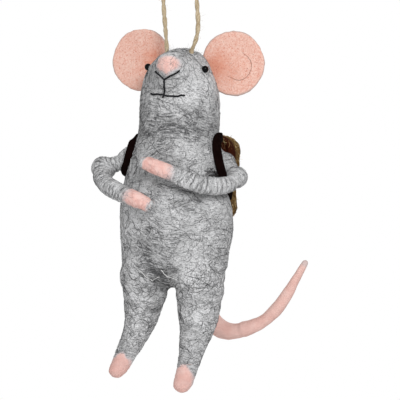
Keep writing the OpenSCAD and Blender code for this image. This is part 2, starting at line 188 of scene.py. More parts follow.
def heap(shapes):
    """Several shapes as one."""
    points, faces, first = [], [], 0
    for p, f in shapes:
        points.append(p)
        faces.append(f + first)
        first += len(p)
    return np.vstack(points), np.vstack(faces)


def grid_faces(rows, columns, closed):
    """Quads of a grid of rows and columns of vertices, counter-clockwise seen from outside."""
    r, c = np.meshgrid(np.arange(rows - 1), np.arange(columns if closed else columns - 1), indexing="ij")
    a = r * columns + c
    b = r * columns + (c + 1) % columns
    return np.stack([a, b, b + columns, a + columns], axis=-1).reshape(-1, 4)


def placed(name, data):
    """A new object in the scene that shows a mesh, a lamp or a camera."""
    thing = bpy.data.objects.new(name, data)
    bpy.context.scene.collection.objects.link(thing)
    return thing


def mesh_of(name, points, faces):
    mesh = bpy.data.meshes.new(name)
    mesh.from_pydata(points.tolist(), [], faces.tolist())
    return mesh


def voxel(points, faces, size):
    """The outer surface of a heap of overlapping closed shapes, as even quads."""
    mesh = mesh_of("voxels", points, faces)
    thing = placed("voxels", mesh)
    step = thing.modifiers.new("voxels", "REMESH")
    step.mode = "VOXEL"
    step.voxel_size = size
    graph = bpy.context.evaluated_depsgraph_get()
    made = arrays_of(thing.evaluated_get(graph).to_mesh())
    bpy.data.objects.remove(thing)
    bpy.data.meshes.remove(mesh)
    return made


def normals(points, faces):
    """Outward normals at the vertices."""
    a, c = points[faces[:, 2]] - points[faces[:, 0]], points[faces[:, -1]] - points[faces[:, 1]]
    flat = np.cross(a, c)
    total = np.zeros_like(points)
    for k in range(3):
        for corner in range(faces.shape[1]):
            total[:, k] += np.bincount(faces[:, corner], flat[:, k], len(points))
    return unit(total)


def relaxed(points, faces, rounds):
    """The surface smoothed. Each round moves it in and a little further out, to hold its volume."""
    a = faces.ravel()
    b = np.roll(faces, -1, axis=1).ravel()
    count = np.maximum(np.bincount(a, minlength=len(points)), 1)[:, None]
    points = points.copy()
    for _ in range(rounds):
        for step in (0.62, -0.65):
            mean = np.stack([np.bincount(a, points[b, k], len(points)) for k in range(3)], axis=1) / count
            points += step * (mean - points)
    return points


def felted(nodes, lumps=(), size=0.5, reach=1.3, rounds=8):
    """Wool felted over CAD nodes: one closed skin with every gap narrower than twice reach filled."""
    points, faces = heap([cad_shape(n) for n in nodes] + list(lumps))
    points, faces = voxel(points, faces, size)
    points = relaxed(points, faces, 3)
    points, faces = voxel(points + reach * normals(points, faces), faces, size)
    points = relaxed(points, faces, 4)
    points, faces = voxel(points - reach * normals(points, faces), faces, size)
    return relaxed(points, faces, rounds), faces


def skin_of(points, faces, **layers):
    """A surface with its normals, and the layers that its material reads."""
    return {"points": points, "faces": faces, "normals": normals(points, faces), **layers}


def raise_skin(skin, height):
    """Moves each vertex of a skin out by its height."""
    skin["points"] = skin["points"] + skin["normals"] * height[:, None]
    skin["normals"] = normals(skin["points"], skin["faces"])


def tree_of(skin):
    return BVHTree.FromPolygons(skin["points"].tolist(), skin["faces"].tolist())


def nearest(tree, points):
    """The nearest places on a tree's surface, and the outward ways there."""
    found = [tree.find_nearest(Vector(p)) for p in points]
    return np.array([f[0] for f in found]), np.array([f[1] for f in found])


# ---------------------------------------------------------------- pieces


def store(mesh, name, values):
    """A number or a vector for every vertex, which the materials read."""
    values = np.asarray(values, np.float32)
    kind, field = ("FLOAT_VECTOR", "vector") if values.ndim == 2 else ("FLOAT", "value")
    mesh.attributes.new(name, kind, "POINT").data.foreach_set(field, values.ravel())


def piece(name, points, faces, paint, layers=None, bent_normals=None):
    """A shown object, in metres, from points in millimetres."""
    mesh = mesh_of(name, points * MM, faces)
    mesh.shade_smooth()
    store(mesh, "rest", points)
    for layer, values in (layers or {}).items():
        store(mesh, layer, values)
    if bent_normals is not None:
        mesh.normals_split_custom_set_from_vertices(bent_normals.tolist())
    mesh.materials.append(paint)
    return placed(name, mesh)


def cut(skin, chosen):
    """The part of a skin made by the chosen faces."""
    used, corners = np.unique(skin["faces"][chosen], return_inverse=True)
    part = {key: value[used] for key, value in skin.items() if key != "faces"}
    part["faces"] = corners.reshape(-1, skin["faces"].shape[1])
    return part


def show(name, skin, paint):
    """A piece made from a skin, with the layers that it carries."""
    layers = {key: skin[key] for key in ("flow", "pink", "shade") if key in skin}
    thing = piece(name, skin["points"], skin["faces"], paint, layers, skin["normals"])
    return thing


def capped(rings, first, last):
    """A closed surface through rows of rings, with a point to close each end, as triangles."""
    rows, columns = rings.shape[:2]
    points = np.vstack([rings.reshape(-1, 3), first, last])
    quads = grid_faces(rows, columns, True)
    k = np.arange(columns)
    after = (k + 1) % columns
    tip = rows * columns + 0 * k
    end = (rows - 1) * columns
    faces = [
        quads[:, [0, 1, 2]],
        quads[:, [0, 2, 3]],
        np.stack([tip, after, k], axis=1),
        np.stack([tip + 1, k + end, after + end], axis=1),
    ]
    return points, np.vstack(faces)


def tube(line, radius, sides, up, lobes=0, depth=0.0, pitch=1.0):
    """A closed tube along a line, with lobes that wind round it once in each pitch."""
    line, radius = np.asarray(line, float), np.broadcast_to(radius, len(line))
    ahead = unit(np.gradient(line, axis=0))
    side = unit(np.cross(up, ahead))
    over = np.cross(ahead, side)
    along = distances(line)
    turn = np.linspace(0, 2 * np.pi, sides, endpoint=False)[None, :]
    wind = 2 * np.pi * along[:, None] / pitch
    reach = radius[:, None] * (1 - depth + depth * np.abs(np.cos(lobes * (turn - wind) / 2)))
    rings = line[:, None] + reach[..., None] * (
        np.cos(turn)[..., None] * side[:, None] + np.sin(turn)[..., None] * over[:, None]
    )
    points, faces = capped(
        rings, line[0] - 0.6 * radius[0] * ahead[0], line[-1] + 0.6 * radius[-1] * ahead[-1]
    )
    return points, faces, along


def strand_mesh(lines, ups, widths, taper=0.35):
    """Thin three-sided threads, one for each line of points, that taper at both ends."""
    count, steps = lines.shape[:2]
    ahead = unit(np.gradient(lines, axis=1))
    side = unit(np.cross(ups, ahead))
    over = np.cross(ahead, side)
    u = np.linspace(0, 1, steps)
    profile = 0.12 + 0.88 * np.sin(np.pi * u) ** taper
    reach = (widths[:, None] * profile / 2)[..., None, None]
    turn = np.radians([90, 210, 330])
    rings = lines[:, :, None] + reach * (
        np.cos(turn)[:, None] * side[:, :, None] + np.sin(turn)[:, None] * over[:, :, None]
    )
    one = grid_faces(steps, 3, True)
    faces = (one[None] + (np.arange(count) * steps * 3)[:, None, None]).reshape(-1, 4)
    return rings.reshape(-1, 3), faces


STEPS = 9  # points along a fibre


def fibre_layers(random, skin, start):
    """A tone drawn for each fibre, and the pink of the wool where it starts."""
    pink = skin["pink"][start] if "pink" in skin else np.zeros(len(start))
    tone = random.random(len(start))
    return {"tone": np.repeat(tone, STEPS * 3), "pink": np.repeat(pink, STEPS * 3)}


def fibres(name, skin, count, length, width, way, seed, paint, spread=0.5, curl=0.35, lift=0.02, where=None):
    """Single fibres that lie on a skin, where says so, and curl about the way that it was wrapped."""
    random = np.random.default_rng(seed)
    pool = np.arange(len(skin["points"])) if where is None else np.flatnonzero(where)
    start = random.choice(pool, count)
    tree = tree_of(skin)
    n = skin["normals"][start]
    here = skin["points"][start] + random.normal(0, 0.2, (count, 3))
    ahead = way(here, n)
    turn = random.normal(0, spread, count)
    bend = random.normal(0, curl, count)
    stride = random.uniform(*length, count) / (STEPS - 1)
    widths = random.uniform(*width, count)
    lines, ups = [], []
    for step in range(STEPS):
        ground, n = nearest(tree, here)
        raised = lift + widths * (0.55 if 0 < step < STEPS - 1 else -0.6)
        lines.append(ground + n * raised[:, None])
        ups.append(n)
        ahead = unit(ahead - (ahead * n).sum(1)[:, None] * n)
        angle = turn if step == 0 else bend + random.normal(0, 0.18, count)
        c, s = np.cos(angle)[:, None], np.sin(angle)[:, None]
        ahead = ahead * c + np.cross(n, ahead) * s
        here = ground + ahead * stride[:, None]
    made, quads = strand_mesh(np.stack(lines, axis=1), np.stack(ups, axis=1), widths)
    return piece(name, made, quads, paint, fibre_layers(random, skin, start))


def stray(name, skin, chosen, length, width, seed, paint, lean=0.6, curl=0.5):
    """Loose hairs that stand off a skin at the chosen vertices."""
    random = np.random.default_rng(seed)
    count = len(chosen)
    n = skin["normals"][chosen]
    here = skin["points"][chosen] - 0.3 * n
    ahead = unit(n + random.normal(0, lean, (count, 3)))
    axis = unit(random.normal(0, 1, (count, 3)))
    bend = random.normal(0, curl, count)
    stride = random.uniform(*length, count) / (STEPS - 1)
    lines = [here]
    for _ in range(STEPS - 1):
        c, s = np.cos(bend)[:, None], np.sin(bend)[:, None]
        ahead = unit(ahead * c + np.cross(axis, ahead) * s + random.normal(0, 0.08, (count, 3)))
        lines.append(lines[-1] + ahead * stride[:, None])
    ups = np.repeat(axis[:, None], STEPS, axis=1)
    made, quads = strand_mesh(np.stack(lines, axis=1), ups, random.uniform(*width, count), 0.2)
    return piece(name, made, quads, paint, fibre_layers(random, skin, chosen))


# ---------------------------------------------------------------- materials


class Paint:
    """A material's nodes, added one at a time."""

    def __init__(self, name, roughness=0.9, sheen=0.0):
        self.material = bpy.data.materials.new(name)
        self.material.use_nodes = True
        self.tree = self.material.node_tree
        self.tree.nodes.clear()
        self.shader = self.add("ShaderNodeBsdfPrincipled")
        self.shader.inputs["Roughness"].default_value = roughness
        self.shader.inputs["Sheen Weight"].default_value = sheen
        self.shader.inputs["Sheen Roughness"].default_value = 0.6
        self.shader.inputs["Specular IOR Level"].default_value = 0.2
        self.add("ShaderNodeOutputMaterial", {"Surface": self.shader.outputs[0]})

    def add(self, kind, inputs=None, **settings):
        node = self.tree.nodes.new(kind)
        for name, value in settings.items():
            setattr(node, name, value)
        for name, value in (inputs or {}).items():
            self.feed(node.inputs[name], value)
        return node

    def feed(self, socket, value):
        if isinstance(value, bpy.types.NodeSocket):
            self.tree.links.new(value, socket)
        else:
            socket.default_value = value

    def layer(self, name, output="Vector"):
        return self.add("ShaderNodeAttribute", attribute_name=name).outputs[output]

    def noise(self, where, stretch=(1, 1, 1), turn=0.0, shift=0.0, detail=2.0, rough=0.5, distort=0.0):
        """Noise over where, turned about the way the mouse faces and then stretched."""
        tilted = self.add(
            "ShaderNodeVectorRotate", {"Vector": where, "Angle": turn, "Axis": (0, 1, 0)}
        ).outputs[0]
        shifted = self.add(
            "ShaderNodeMapping", {"Vector": tilted, "Scale": stretch, "Location": (shift, shift, shift)}
        ).outputs[0]
        inputs = {
            "Vector": shifted, "Scale": 1.0, "Detail": detail, "Roughness": rough, "Distortion": distort
        }
        return self.add("ShaderNodeTexNoise", inputs).outputs[0]

    def band(self, value, low, high, to_low=0.0, to_high=1.0):
        inputs = {"Value": value, "From Min": low, "From Max": high, "To Min": to_low, "To Max": to_high}
        return self.add("ShaderNodeMapRange", inputs).outputs[0]

    def maths(self, operation, a, b=0.0):
        node = self.add("ShaderNodeMath", operation=operation)
        for socket, value in zip(node.inputs, (a, b)):
            self.feed(socket, value)
        return node.outputs[0]

    def times(self, a, b):
        return self.maths("MULTIPLY", a, b)

    def most(self, first, *others):
        for other in others:
            first = self.maths("MAXIMUM", first, other)
        return first

    def sway(self, value, noise, much):
        """A value moved up and down by a noise about 0.5."""
        return self.maths("ADD", value, self.times(self.maths("SUBTRACT", noise, 0.5), much))

    def mix(self, share, a, b):
        """A colour between a and b."""
        node = self.add("ShaderNodeMix", data_type="RGBA")
        self.feed(node.inputs[0], share)
        for socket, value in ((node.inputs[6], a), (node.inputs[7], b)):
            self.feed(socket, value if isinstance(value, bpy.types.NodeSocket) else (*value, 1))
        return node.outputs[2]

    def blend(self, share, a, b):
        """A number between a and b."""
        return self.add("ShaderNodeMix", {"Factor": share, "A": a, "B": b}).outputs["Result"]

    def curls(self, where, scale, thin, turn=0.0, shift=0.0):
        """Broken curly lines: 1 on a line and 0 off it."""
        smooth = self.noise(where, scale, turn, shift, 1.5, 0.5, 0.6)
        off = self.maths("ABSOLUTE", self.maths("SUBTRACT", smooth, 0.5))
        line = self.band(off, 0.0, thin, 1.0, 0.0)
        patch = self.band(self.noise(where, (0.55,) * 3, 0, shift + 9), 0.325, 0.675)
        return self.times(line, patch)

    def finish(self, colour, height, depth):
        """Sets the colour, and a bump of a height from 0 to 1 that is depth millimetres deep."""
        self.feed(self.shader.inputs["Base Color"], colour)
        bump = self.add("ShaderNodeBump", {"Height": height, "Strength": 1.0, "Distance": depth * MM})
        self.feed(self.shader.inputs["Normal"], bump.outputs[0])
        return self.material


def wool_paint():
    """Heather-grey wool, streaked the way that it was wrapped, pink where the pink layer says, and darker or
    paler where the shade layer says: the wool's own tone with painted shade and painted light.
    """
    p = Paint("wool", 0.95, 0.04)
    flow, rest = p.layer("flow"), p.layer("rest")
    pink = p.layer("pink", "Fac")
    shade = p.layer("shade", "Fac")
    clouds = p.noise(rest, (0.12,) * 3, detail=4, rough=0.6)
    drawn = dict(detail=5, rough=0.72, distort=0.35)
    level = p.noise(flow, (0.24, 0.24, 2.2), **drawn)
    rising = p.noise(flow, (0.33, 0.33, 2.2), turn=0.4, shift=5, **drawn)
    falling = p.noise(flow, (0.33, 0.33, 2.2), turn=-0.35, shift=11, **drawn)
    patch = p.band(p.noise(rest, (0.13,) * 3, shift=7, detail=2), 0.42, 0.5)
    other = p.band(p.noise(rest, (0.11,) * 3, shift=19, detail=2), 0.5, 0.58)
    streaks = p.blend(patch, rising, level)
    streaks = p.blend(other, streaks, falling)
    speck = p.noise(flow, (2.0, 2.0, 3.4), detail=4, rough=0.8, distort=0.5)
    felt = p.sway(p.blend(0.34, streaks, speck), clouds, 0.34)
    # The shade layer darkens or lightens the grey felt: the wool's own tone with painted shade and painted
    # light
    felt = p.maths("SUBTRACT", felt, p.times(shade, 0.1))
    grey = p.mix(p.band(felt, 0.36, 0.46), (0.07, 0.071, 0.073), (0.43, 0.432, 0.437))
    grey = p.mix(p.band(felt, 0.46, 0.58), grey, (0.66, 0.662, 0.67))
    dark = p.most(
        p.curls(flow, (0.3, 0.3, 0.95), 0.01),
        p.curls(flow, (0.4, 0.4, 0.8), 0.01, 0.8, 3),
        p.curls(flow, (0.35, 0.35, 1.2), 0.01, -0.7, 7),
        p.curls(flow, (0.25, 0.25, 0.5), 0.007, 1.3, 13),
    )
    grey = p.mix(p.times(dark, 0.4), grey, (0.05, 0.05, 0.051))
    flecks = p.noise(flow, (1.9, 1.9, 3.4), shift=29, detail=2, rough=0.6)
    grey = p.mix(p.band(flecks, 0.56, 0.64, 0.0, 0.85), grey, (0.07, 0.07, 0.072))
    pale = p.most(
        p.curls(flow, (0.35, 0.35, 0.8), 0.01, 0.3, 17),
        p.curls(flow, (0.4, 0.4, 0.9), 0.01, -0.4, 23),
    )
    grey = p.mix(p.times(pale, 0.55), grey, (0.8, 0.8, 0.805))
    blush = p.noise(rest, (0.35,) * 3, detail=4, rough=0.6, shift=3)
    grain = p.noise(rest, (2.4,) * 3, detail=3, rough=0.7)
    rosy = p.mix(p.band(blush, 0.35, 0.65), (0.79, 0.48, 0.425), (0.84, 0.61, 0.56))
    rosy = p.mix(p.band(grain, 0.35, 0.65, 0.3, 0.0), rosy, (0.62, 0.31, 0.27))
    # Pinks drawn darker where the shade layer says, with painted shade among the wool's own tone
    rosy = p.mix(p.band(shade, 0.1, 1.0, 0.0, 0.55), rosy, (0.56, 0.32, 0.28))
    edge = p.band(p.sway(pink, speck, 1.6), 0.2, 0.8)
    faded = p.mix(p.band(pink, 0.02, 0.4, 0.0, 0.75), grey, (0.62, 0.55, 0.56))
    colour = p.mix(edge, faded, rosy)
    return p.finish(colour, p.maths("SUBTRACT", felt, p.times(dark, 0.12)), 0.4)


def fibre_paint(name, dark, middle, light):
    """Single fibres, each with its own tone, pink where they grow from pink wool."""
    p = Paint(name, 0.85, 0.03)
    tone = p.layer("tone", "Fac")
    colour = p.mix(p.band(tone, 0.0, 0.55), dark, middle)
    colour = p.mix(p.band(tone, 0.55, 1.0), colour, light)
    rosy = p.mix(tone, (0.6, 0.3, 0.26), (0.9, 0.66, 0.6))
    colour = p.mix(p.band(p.layer("pink", "Fac"), 0.4, 0.6), colour, rosy)
    fine = p.noise(p.layer("rest"), (6.0,) * 3, detail=2)
    return p.finish(colour, fine, 0.02)


def tail_paint():
    """Smooth pink wool, drawn along the tail."""
    p = Paint("tail_wool", 0.95, 0.03)
    flow, rest = p.layer("flow"), p.layer("rest")
    clouds = p.noise(rest, (0.22,) * 3, detail=4, rough=0.6)
    drawn = p.noise(flow, (2.4, 2.4, 0.5), detail=4, rough=0.7, distort=0.4)
    speck = p.noise(rest, (5.0,) * 3, detail=3, rough=0.7)
    colour = p.mix(p.band(clouds, 0.35, 0.65), (0.67, 0.41, 0.36), (0.73, 0.5, 0.45))
    colour = p.mix(p.band(drawn, 0.3, 0.7, 0.3, 0.0), colour, (0.52, 0.28, 0.24))
    colour = p.mix(p.band(speck, 0.5, 0.75, 0.0, 0.35), colour, (0.9, 0.68, 0.62))
    tip = p.layer("shade", "Fac")
    colour = p.mix(tip, colour, (0.45, 0.42, 0.42))
    return p.finish(colour, p.blend(0.4, drawn, speck), 0.15)


def ear_paint():
    """Pressed pink felt, mottled red, redder towards the root, with a grey edge of painted shade."""
    p = Paint("ear_felt", 0.97, 0.03)
    rest = p.layer("rest")
    root = p.layer("pink", "Fac")
    rim = p.layer("shade", "Fac")
    clouds = p.noise(rest, (0.3,) * 3, detail=6, rough=0.7, distort=0.5)
    speck = p.noise(rest, (1.5,) * 3, detail=5, rough=0.8)
    dots = p.noise(rest, (1.9,) * 3, detail=2, rough=0.6, shift=4)
    dark = p.noise(rest, (2.6,) * 3, detail=1, rough=0.5, shift=14)
    warm = p.sway(root, clouds, 1.8)
    colour = p.mix(p.band(warm, 0.1, 0.95), (0.75, 0.51, 0.43), (0.65, 0.3, 0.21))
    colour = p.mix(p.band(speck, 0.38, 0.58, 0.6, 0.0), colour, (0.6, 0.24, 0.17))
    colour = p.mix(p.band(dots, 0.57, 0.66, 0.0, 0.65), colour, (0.52, 0.15, 0.1))
    colour = p.mix(p.band(dark, 0.68, 0.74, 0.0, 0.6), colour, (0.2, 0.07, 0.06))
    # Painted shade: the disc's rim drawn grey
    colour = p.mix(p.times(rim, 0.6), colour, (0.4, 0.34, 0.32))
    return p.finish(colour, speck, 0.12)


def felt_paint(name, dark, light, fleck, painted_shade_colour=None):
    """Fuzzy dyed felt with pale flecks, turned dark with painted shade where the shade layer says, if it is
    given a shade colour.
    """
    p = Paint(name, 1.0, 0.0)
    p.shader.inputs["Specular IOR Level"].default_value = 0.02
    rest = p.layer("rest")
    clouds = p.noise(rest, (0.4,) * 3, detail=5, rough=0.7, distort=0.8)
    matted = p.noise(rest, (2.4,) * 3, detail=5, rough=0.75, distort=1.2)
    curls = p.most(p.curls(rest, (0.9,) * 3, 0.02), p.curls(rest, (1.3,) * 3, 0.02, 0.8, 4))
    colour = p.mix(p.band(p.blend(0.6, clouds, matted), 0.38, 0.64), dark, light)
    colour = p.mix(p.times(curls, 0.5), colour, fleck)
    if painted_shade_colour is not None:
        # Painted shade: the felt turns to the dark shade colour where the shade layer says
        share = p.sway(p.layer("shade", "Fac"), clouds, 2.0)
        inner = p.mix(p.band(matted, 0.35, 0.65), painted_shade_colour, [3 * c for c in painted_shade_colour])
        colour = p.mix(p.band(share, 0.35, 0.7), colour, inner)
    return p.finish(colour, matted, 0.3)


def twine_paint():
    """Beige jute, streaked along its plies."""
    p = Paint("jute_twine", 0.9, 0.03)
    flow = p.layer("flow")
    drawn = p.noise(flow, (0.9, 1.2, 1.2), detail=4, rough=0.7, distort=0.3)
    fine = p.noise(flow, (1.5, 5.0, 5.0), detail=3, rough=0.7, shift=3)
    colour = p.mix(p.band(drawn, 0.32, 0.66), (0.36, 0.27, 0.16), (0.66, 0.56, 0.4))
    colour = p.mix(p.band(fine, 0.4, 0.65, 0.4, 0.0), colour, (0.24, 0.17, 0.09))
    return p.finish(colour, fine, 0.2)


def thread_paint():
    """Black cotton thread with a dull shine."""
    p = Paint("black_thread", 0.7, 0.0)
    p.shader.inputs["Specular IOR Level"].default_value = 0.08
    fine = p.noise(p.layer("rest"), (7.0,) * 3, detail=3, rough=0.6)
    colour = p.mix(p.band(fine, 0.4, 0.65), (0.006, 0.006, 0.007), (0.03, 0.03, 0.034))
    return p.finish(colour, fine, 0.05)


def bead_paint():
    """Polished black bead."""
    p = Paint("black_bead", 0.06)
    p.shader.inputs["Specular IOR Level"].default_value = 0.1
    scuffs = p.noise(p.layer("rest"), (2.5,) * 3, detail=3)
    colour = p.mix(scuffs, (0.001, 0.001, 0.0015), (0.004, 0.004, 0.004))
    return p.finish(colour, scuffs, 0.004)


def wire_paint():
    """Drawn steel wire."""
    p = Paint("steel_wire", 0.35)
    p.shader.inputs["Metallic"].default_value = 1.0
    place = p.add("ShaderNodeTexCoord").outputs["Object"]
    marks = p.noise(place, (900.0, 900.0, 60.0), detail=3)
    colour = p.mix(marks, (0.35, 0.34, 0.33), (0.6, 0.59, 0.58))
    return p.finish(colour, marks, 0.01)


# ---------------------------------------------------------------- wool of the head, torso and legs

HIP_LEFT, HIP_RIGHT = pivot("hip_left"), pivot("hip_right")
SADDLE = (HIP_LEFT + HIP_RIGHT) / 2
SADDLE_R = 4.2  # radius of the wool between the legs
CROTCH = SADDLE - SADDLE_R * Z_AXIS
LEG_WAY = {"left": unit([0.5, 0, -0.86]), "right": unit([-0.5, 0, -0.86])}
FEET = {"left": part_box("foot_left"), "right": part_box("foot_right")}
# The pink oval on each foot: its middle, lean, half width and half length
FOOT_PINK = {"left": ((4.1, -9.5, 4.0), 0.12, 3.7, 5.8), "right": ((-20.2, -9.2, 8.4), 0.38, 3.4, 5.0)}
SIDES = {"left": 1, "right": -1}


def swirl(points):
    """How far the wrapped wool runs off level at each place, in radians."""
    return 0.35 * noise(points * 0.055, 3) + 0.25 * noise(points * 0.13, 4)


def wrapped_way(points, n):
    """The way that roving runs round the body: nearly level, with swirls."""
    level = unit(np.cross(Z_AXIS, n) + 1e-6 * X_AXIS)
    tilt = swirl(points)[:, None]
    return level * np.cos(tilt) + np.cross(n, level) * np.sin(tilt)


def wool_relief(skin, flow, fine=0.10, lump=0.22):
    """Moves a skin out and in where the wool lies thick, thin or creased."""
    p = skin["points"]
    swell = lump * (noise(p * 0.11, 21) + 0.6 * noise(p * 0.27, 22))
    ridges = noise(flow * [0.35, 0.35, 1.3], 31) + 0.7 * noise(flow * [0.7, 0.7, 2.4], 32)
    crease = np.abs(noise(flow * [0.1, 0.1, 0.32], 41, 2))
    creases = -0.22 * np.exp(-((crease / 0.05) ** 2)) * ease(noise(p * 0.08, 42), -0.1, 0.4)
    raise_skin(skin, swell + fine * ridges + creases)


# Where the wool is drawn darker (above 0) or paler: partly the roving's own tone, partly painted shade under
# the chin, between the legs and under the left forearm, and painted light on the upturned face. X, Y,
# height, reach and how much
TONES_AND_PAINTED_SHADE = [
    (-6, -15, 47, 8, 1.0), (-10, -15, 56, 7, 0.7), (-2, -13, 40, 5, 1.0), (10, -15, 71, 5, 0.6),
    (-8, -14, 96, 9, 0.8), (8, -13, 98, 8, 0.75), (0, -15, 90, 7, 0.4), (-13, -8, 104, 8, 0.7),
    (2, -15, 82, 8, -0.15), (15, -7.8, 77, 3.5, 1.2), (3, -13, 113, 9, -0.65), (9, -8, 110, 8, -0.6),
    (2, -12, 122, 7, -0.2), (12, -13, 62, 9, -0.25), (8, -14, 78, 7, -0.4), (-16, -10, 60, 11, -1.0),
    (-17, -8, 74, 7, -0.6), (8, -10, 44, 9, -0.6), (9, -10, 28, 10, -0.5), (-15, -10, 40, 8, -0.3),
    (-13, -10, 26, 9, -0.35), (4, -15, 60, 9, 0.55), (4, -9, 4, 6, 1.1), (-20, -9, 8, 6, 0.9),
    (-14, -8, 84, 7, 0.5), (-14, -12, 67, 7, -0.7),
]


def wool_tone_and_painted_shade(points):
    """How dark the wool is drawn, about -1 to 1: the roving's own tone with painted shade and painted light.
    """
    tone = 0.45 * ease(noise(points * 0.09, 51), 0.2, 0.9)
    for x, y, height, reach, depth in TONES_AND_PAINTED_SHADE:
        off = np.linalg.norm((points - at(x, y, height)) * [1, 0.5, 1.1], axis=1)
        tone = tone + depth * np.exp(-((off / reach) ** 2))
    return np.clip(tone, -1, 1.2)


def foot_blush(points, n):
    """How pink the wool is: an oval on the front of each foot."""
    pink = np.zeros(len(points))
    for side, (centre, way, wide, tall) in FOOT_PINK.items():
        off = points - at(*centre)
        along = unit([way, 0, 1])
        across = unit([1, 0, -way])
        share = np.hypot(off @ across / wide, off @ along / tall) + 0.12 * noise(points * 0.7, 61)
        near = ease(np.linalg.norm(off, axis=1), 12, 10)
        front = ease(-n[:, 1] - 0.2 * n[:, 2], -0.45, 0.05)
        pink = np.maximum(pink, near * ease(share, 1.25, 0.8) * front)
    return pink


def body_wool():
    """Head, torso, legs and feet in one skin, with lumps of wool over hips, shoulders and tail's root."""
    lumps = [ball(SADDLE, SADDLE_R), ball(SADDLE + [0, -5.5, 3.5], 6.5)]
    for hip in (HIP_LEFT, HIP_RIGHT):
        lumps += [ball(hip, 8.9), ball(hip + [0, -3.6, -0.5], 8.6), ball(hip + [0, -2.4, -6], 7.9)]
    lumps.append(ball(HIP_LEFT + [0.6, -1.5, -5], 8.4))
    for side in SIDES:
        shoulder, elbow = pivot("shoulder_" + side), pivot("elbow_" + side)
        lumps += [ball(shoulder, 4.3), ball(shoulder + 2.5 * unit(elbow - shoulder), 3.5)]
    root = pivot("tail_lift")
    lumps += [ball(root - [0, 1, 0], 4.6), ball(root + [0.3, 0.4, -3.0], 4.2)]
    nodes = ["body_wool", "leg_left", "foot_left", "leg_right", "foot_right"]
    points, faces = felted(nodes, lumps, 0.45, 1.6, 14)
    points = points + 0.2 * normals(points, faces)
    skin = skin_of(points, faces)
    flow = points.copy()
    flow[:, 2] += 2.2 * noise(points * 0.06, 11) + 0.8 * noise(points * 0.16, 12)
    wool_relief(skin, flow)
    skin["flow"] = flow
    # The shade layer: the roving's own tone with painted shade and painted light
    skin["shade"] = wool_tone_and_painted_shade(skin["points"])
    skin["pink"] = foot_blush(skin["points"], skin["normals"])
    return skin


def beyond(points, side):
    """How far points lie past the slanted line where a leg leaves the torso."""
    return (points - CROTCH) @ LEG_WAY[side]


def split_body(skin):
    """The torso with its head, and the two legs with their feet cut off below the ankles."""
    middle = skin["points"][skin["faces"]].mean(axis=1)
    parts, torso = {}, np.ones(len(middle), bool)
    for side, sign in SIDES.items():
        on_side = (middle[:, 0] - CROTCH[0]) * sign > 0
        leg = on_side & (beyond(middle, side) > 0)
        foot = leg & (middle[:, 2] < FEET[side][1][2] / MM)
        parts["leg_" + side] = cut(skin, leg & ~foot)
        parts["foot_" + side] = cut(skin, foot)
        torso &= ~leg
    parts["torso"] = cut(skin, torso)
    return parts


def bend_leg(thing):
    """Bakes a leg's piece's placement into its vertices."""
    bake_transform(thing)


wool = wool_paint()
fibre = fibre_paint("wool_fibre", (0.035, 0.035, 0.037), (0.2, 0.2, 0.205), (0.7, 0.7, 0.7))
body = body_wool()
parts = split_body(body)
torso = show("torso_wool", parts["torso"], wool)
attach(torso, "mouse")
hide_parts("body_wool")
for side in SIDES:
    leg = show(side + "_leg_wool", parts["leg_" + side], wool)
    bend_leg(leg)
    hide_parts("leg_" + side)
    foot = show(side + "_foot_wool", parts["foot_" + side], wool)
    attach(foot, side + "_leg")
    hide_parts("foot_" + side)
    lying = fibres(
        side + "_leg_fibres", parts["leg_" + side], 1500, (2.0, 6.0), (0.07, 0.14), wrapped_way,
        71 + SIDES[side], fibre, 0.7, 0.3,
    )
    bend_leg(lying)
lying = fibres(
    "torso_fibres", parts["torso"], 3600, (2.5, 8.0), (0.07, 0.14), wrapped_way, 81, fibre, 0.7, 0.3
)
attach(lying, "mouse")

# Long dark and pale hairs that wander over the wool
long_fibre = fibre_paint("long_fibre", (0.02, 0.02, 0.021), (0.07, 0.07, 0.072), (0.85, 0.85, 0.84))
for side in SIDES:
    lying = fibres(
        side + "_leg_hairs", parts["leg_" + side], 14, (7.0, 16.0), (0.13, 0.2), wrapped_way,
        201 + SIDES[side], long_fibre, 0.9, 0.3, 0.05,
    )
    bend_leg(lying)
below_face = parts["torso"]["points"][:, 2] < at(0, 0, 104)[2]
lying = fibres(
    "torso_hairs", parts["torso"], 75, (8.0, 20.0), (0.12, 0.19), wrapped_way,
    211, long_fibre, 0.9, 0.28, 0.05, below_face,
)
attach(lying, "mouse")


# ---------------------------------------------------------------- arms

# Middle lines from the elbow to the paw, as X, Y and height
FOREARM_LINES = {
    "left": [
        (22, -1.2, 77.4), (21.3, -7.2, 74.9), (17.4, -13.2, 74), (11.6, -17.4, 74.9),
        (5.4, -19.8, 77.6), (1.6, -20.4, 79.2), (-2.8, -20.2, 80.9), (-6.4, -19.4, 82.2),
    ],
    "right": [
        (-28.6, -3, 81.2), (-27.4, -8.2, 77.6), (-22.8, -13.8, 74.3), (-17.4, -17.8, 72.1),
        (-13, -20, 70.6), (-8.6, -21.4, 69), (-4.6, -21.9, 67.2),
    ],
}
ELBOW_R = {"left": 3.9, "right": 4.3}
PAW_LENGTH = {"left": 11.5, "right": 9.0}


def arm_line(side):
    """The middle line of an arm, from inside the shoulder to the paw's tip."""
    shoulder = pivot("shoulder_" + side)
    inner = shoulder - 3 * unit(pivot("elbow_" + side) - shoulder)
    return spline([inner, shoulder] + [at(*p) for p in FOREARM_LINES[side]], 220)


def along_line(points, line):
    """For each point, its two offsets from a line and how far along the line it lies."""
    chunks = np.array_split(points, max(1, len(points) // 4000))
    close = np.concatenate([((chunk[:, None] - line[None]) ** 2).sum(-1).argmin(1) for chunk in chunks])
    ahead = unit(np.gradient(line, axis=0))[close]
    side = unit(np.cross(Z_AXIS + 0.01 * X_AXIS, ahead))
    over = np.cross(ahead, side)
    off = points - line[close]
    along = distances(line)[close] + (off * ahead).sum(1)
    return np.stack([(off * side).sum(1), (off * over).sum(1), along], axis=1)


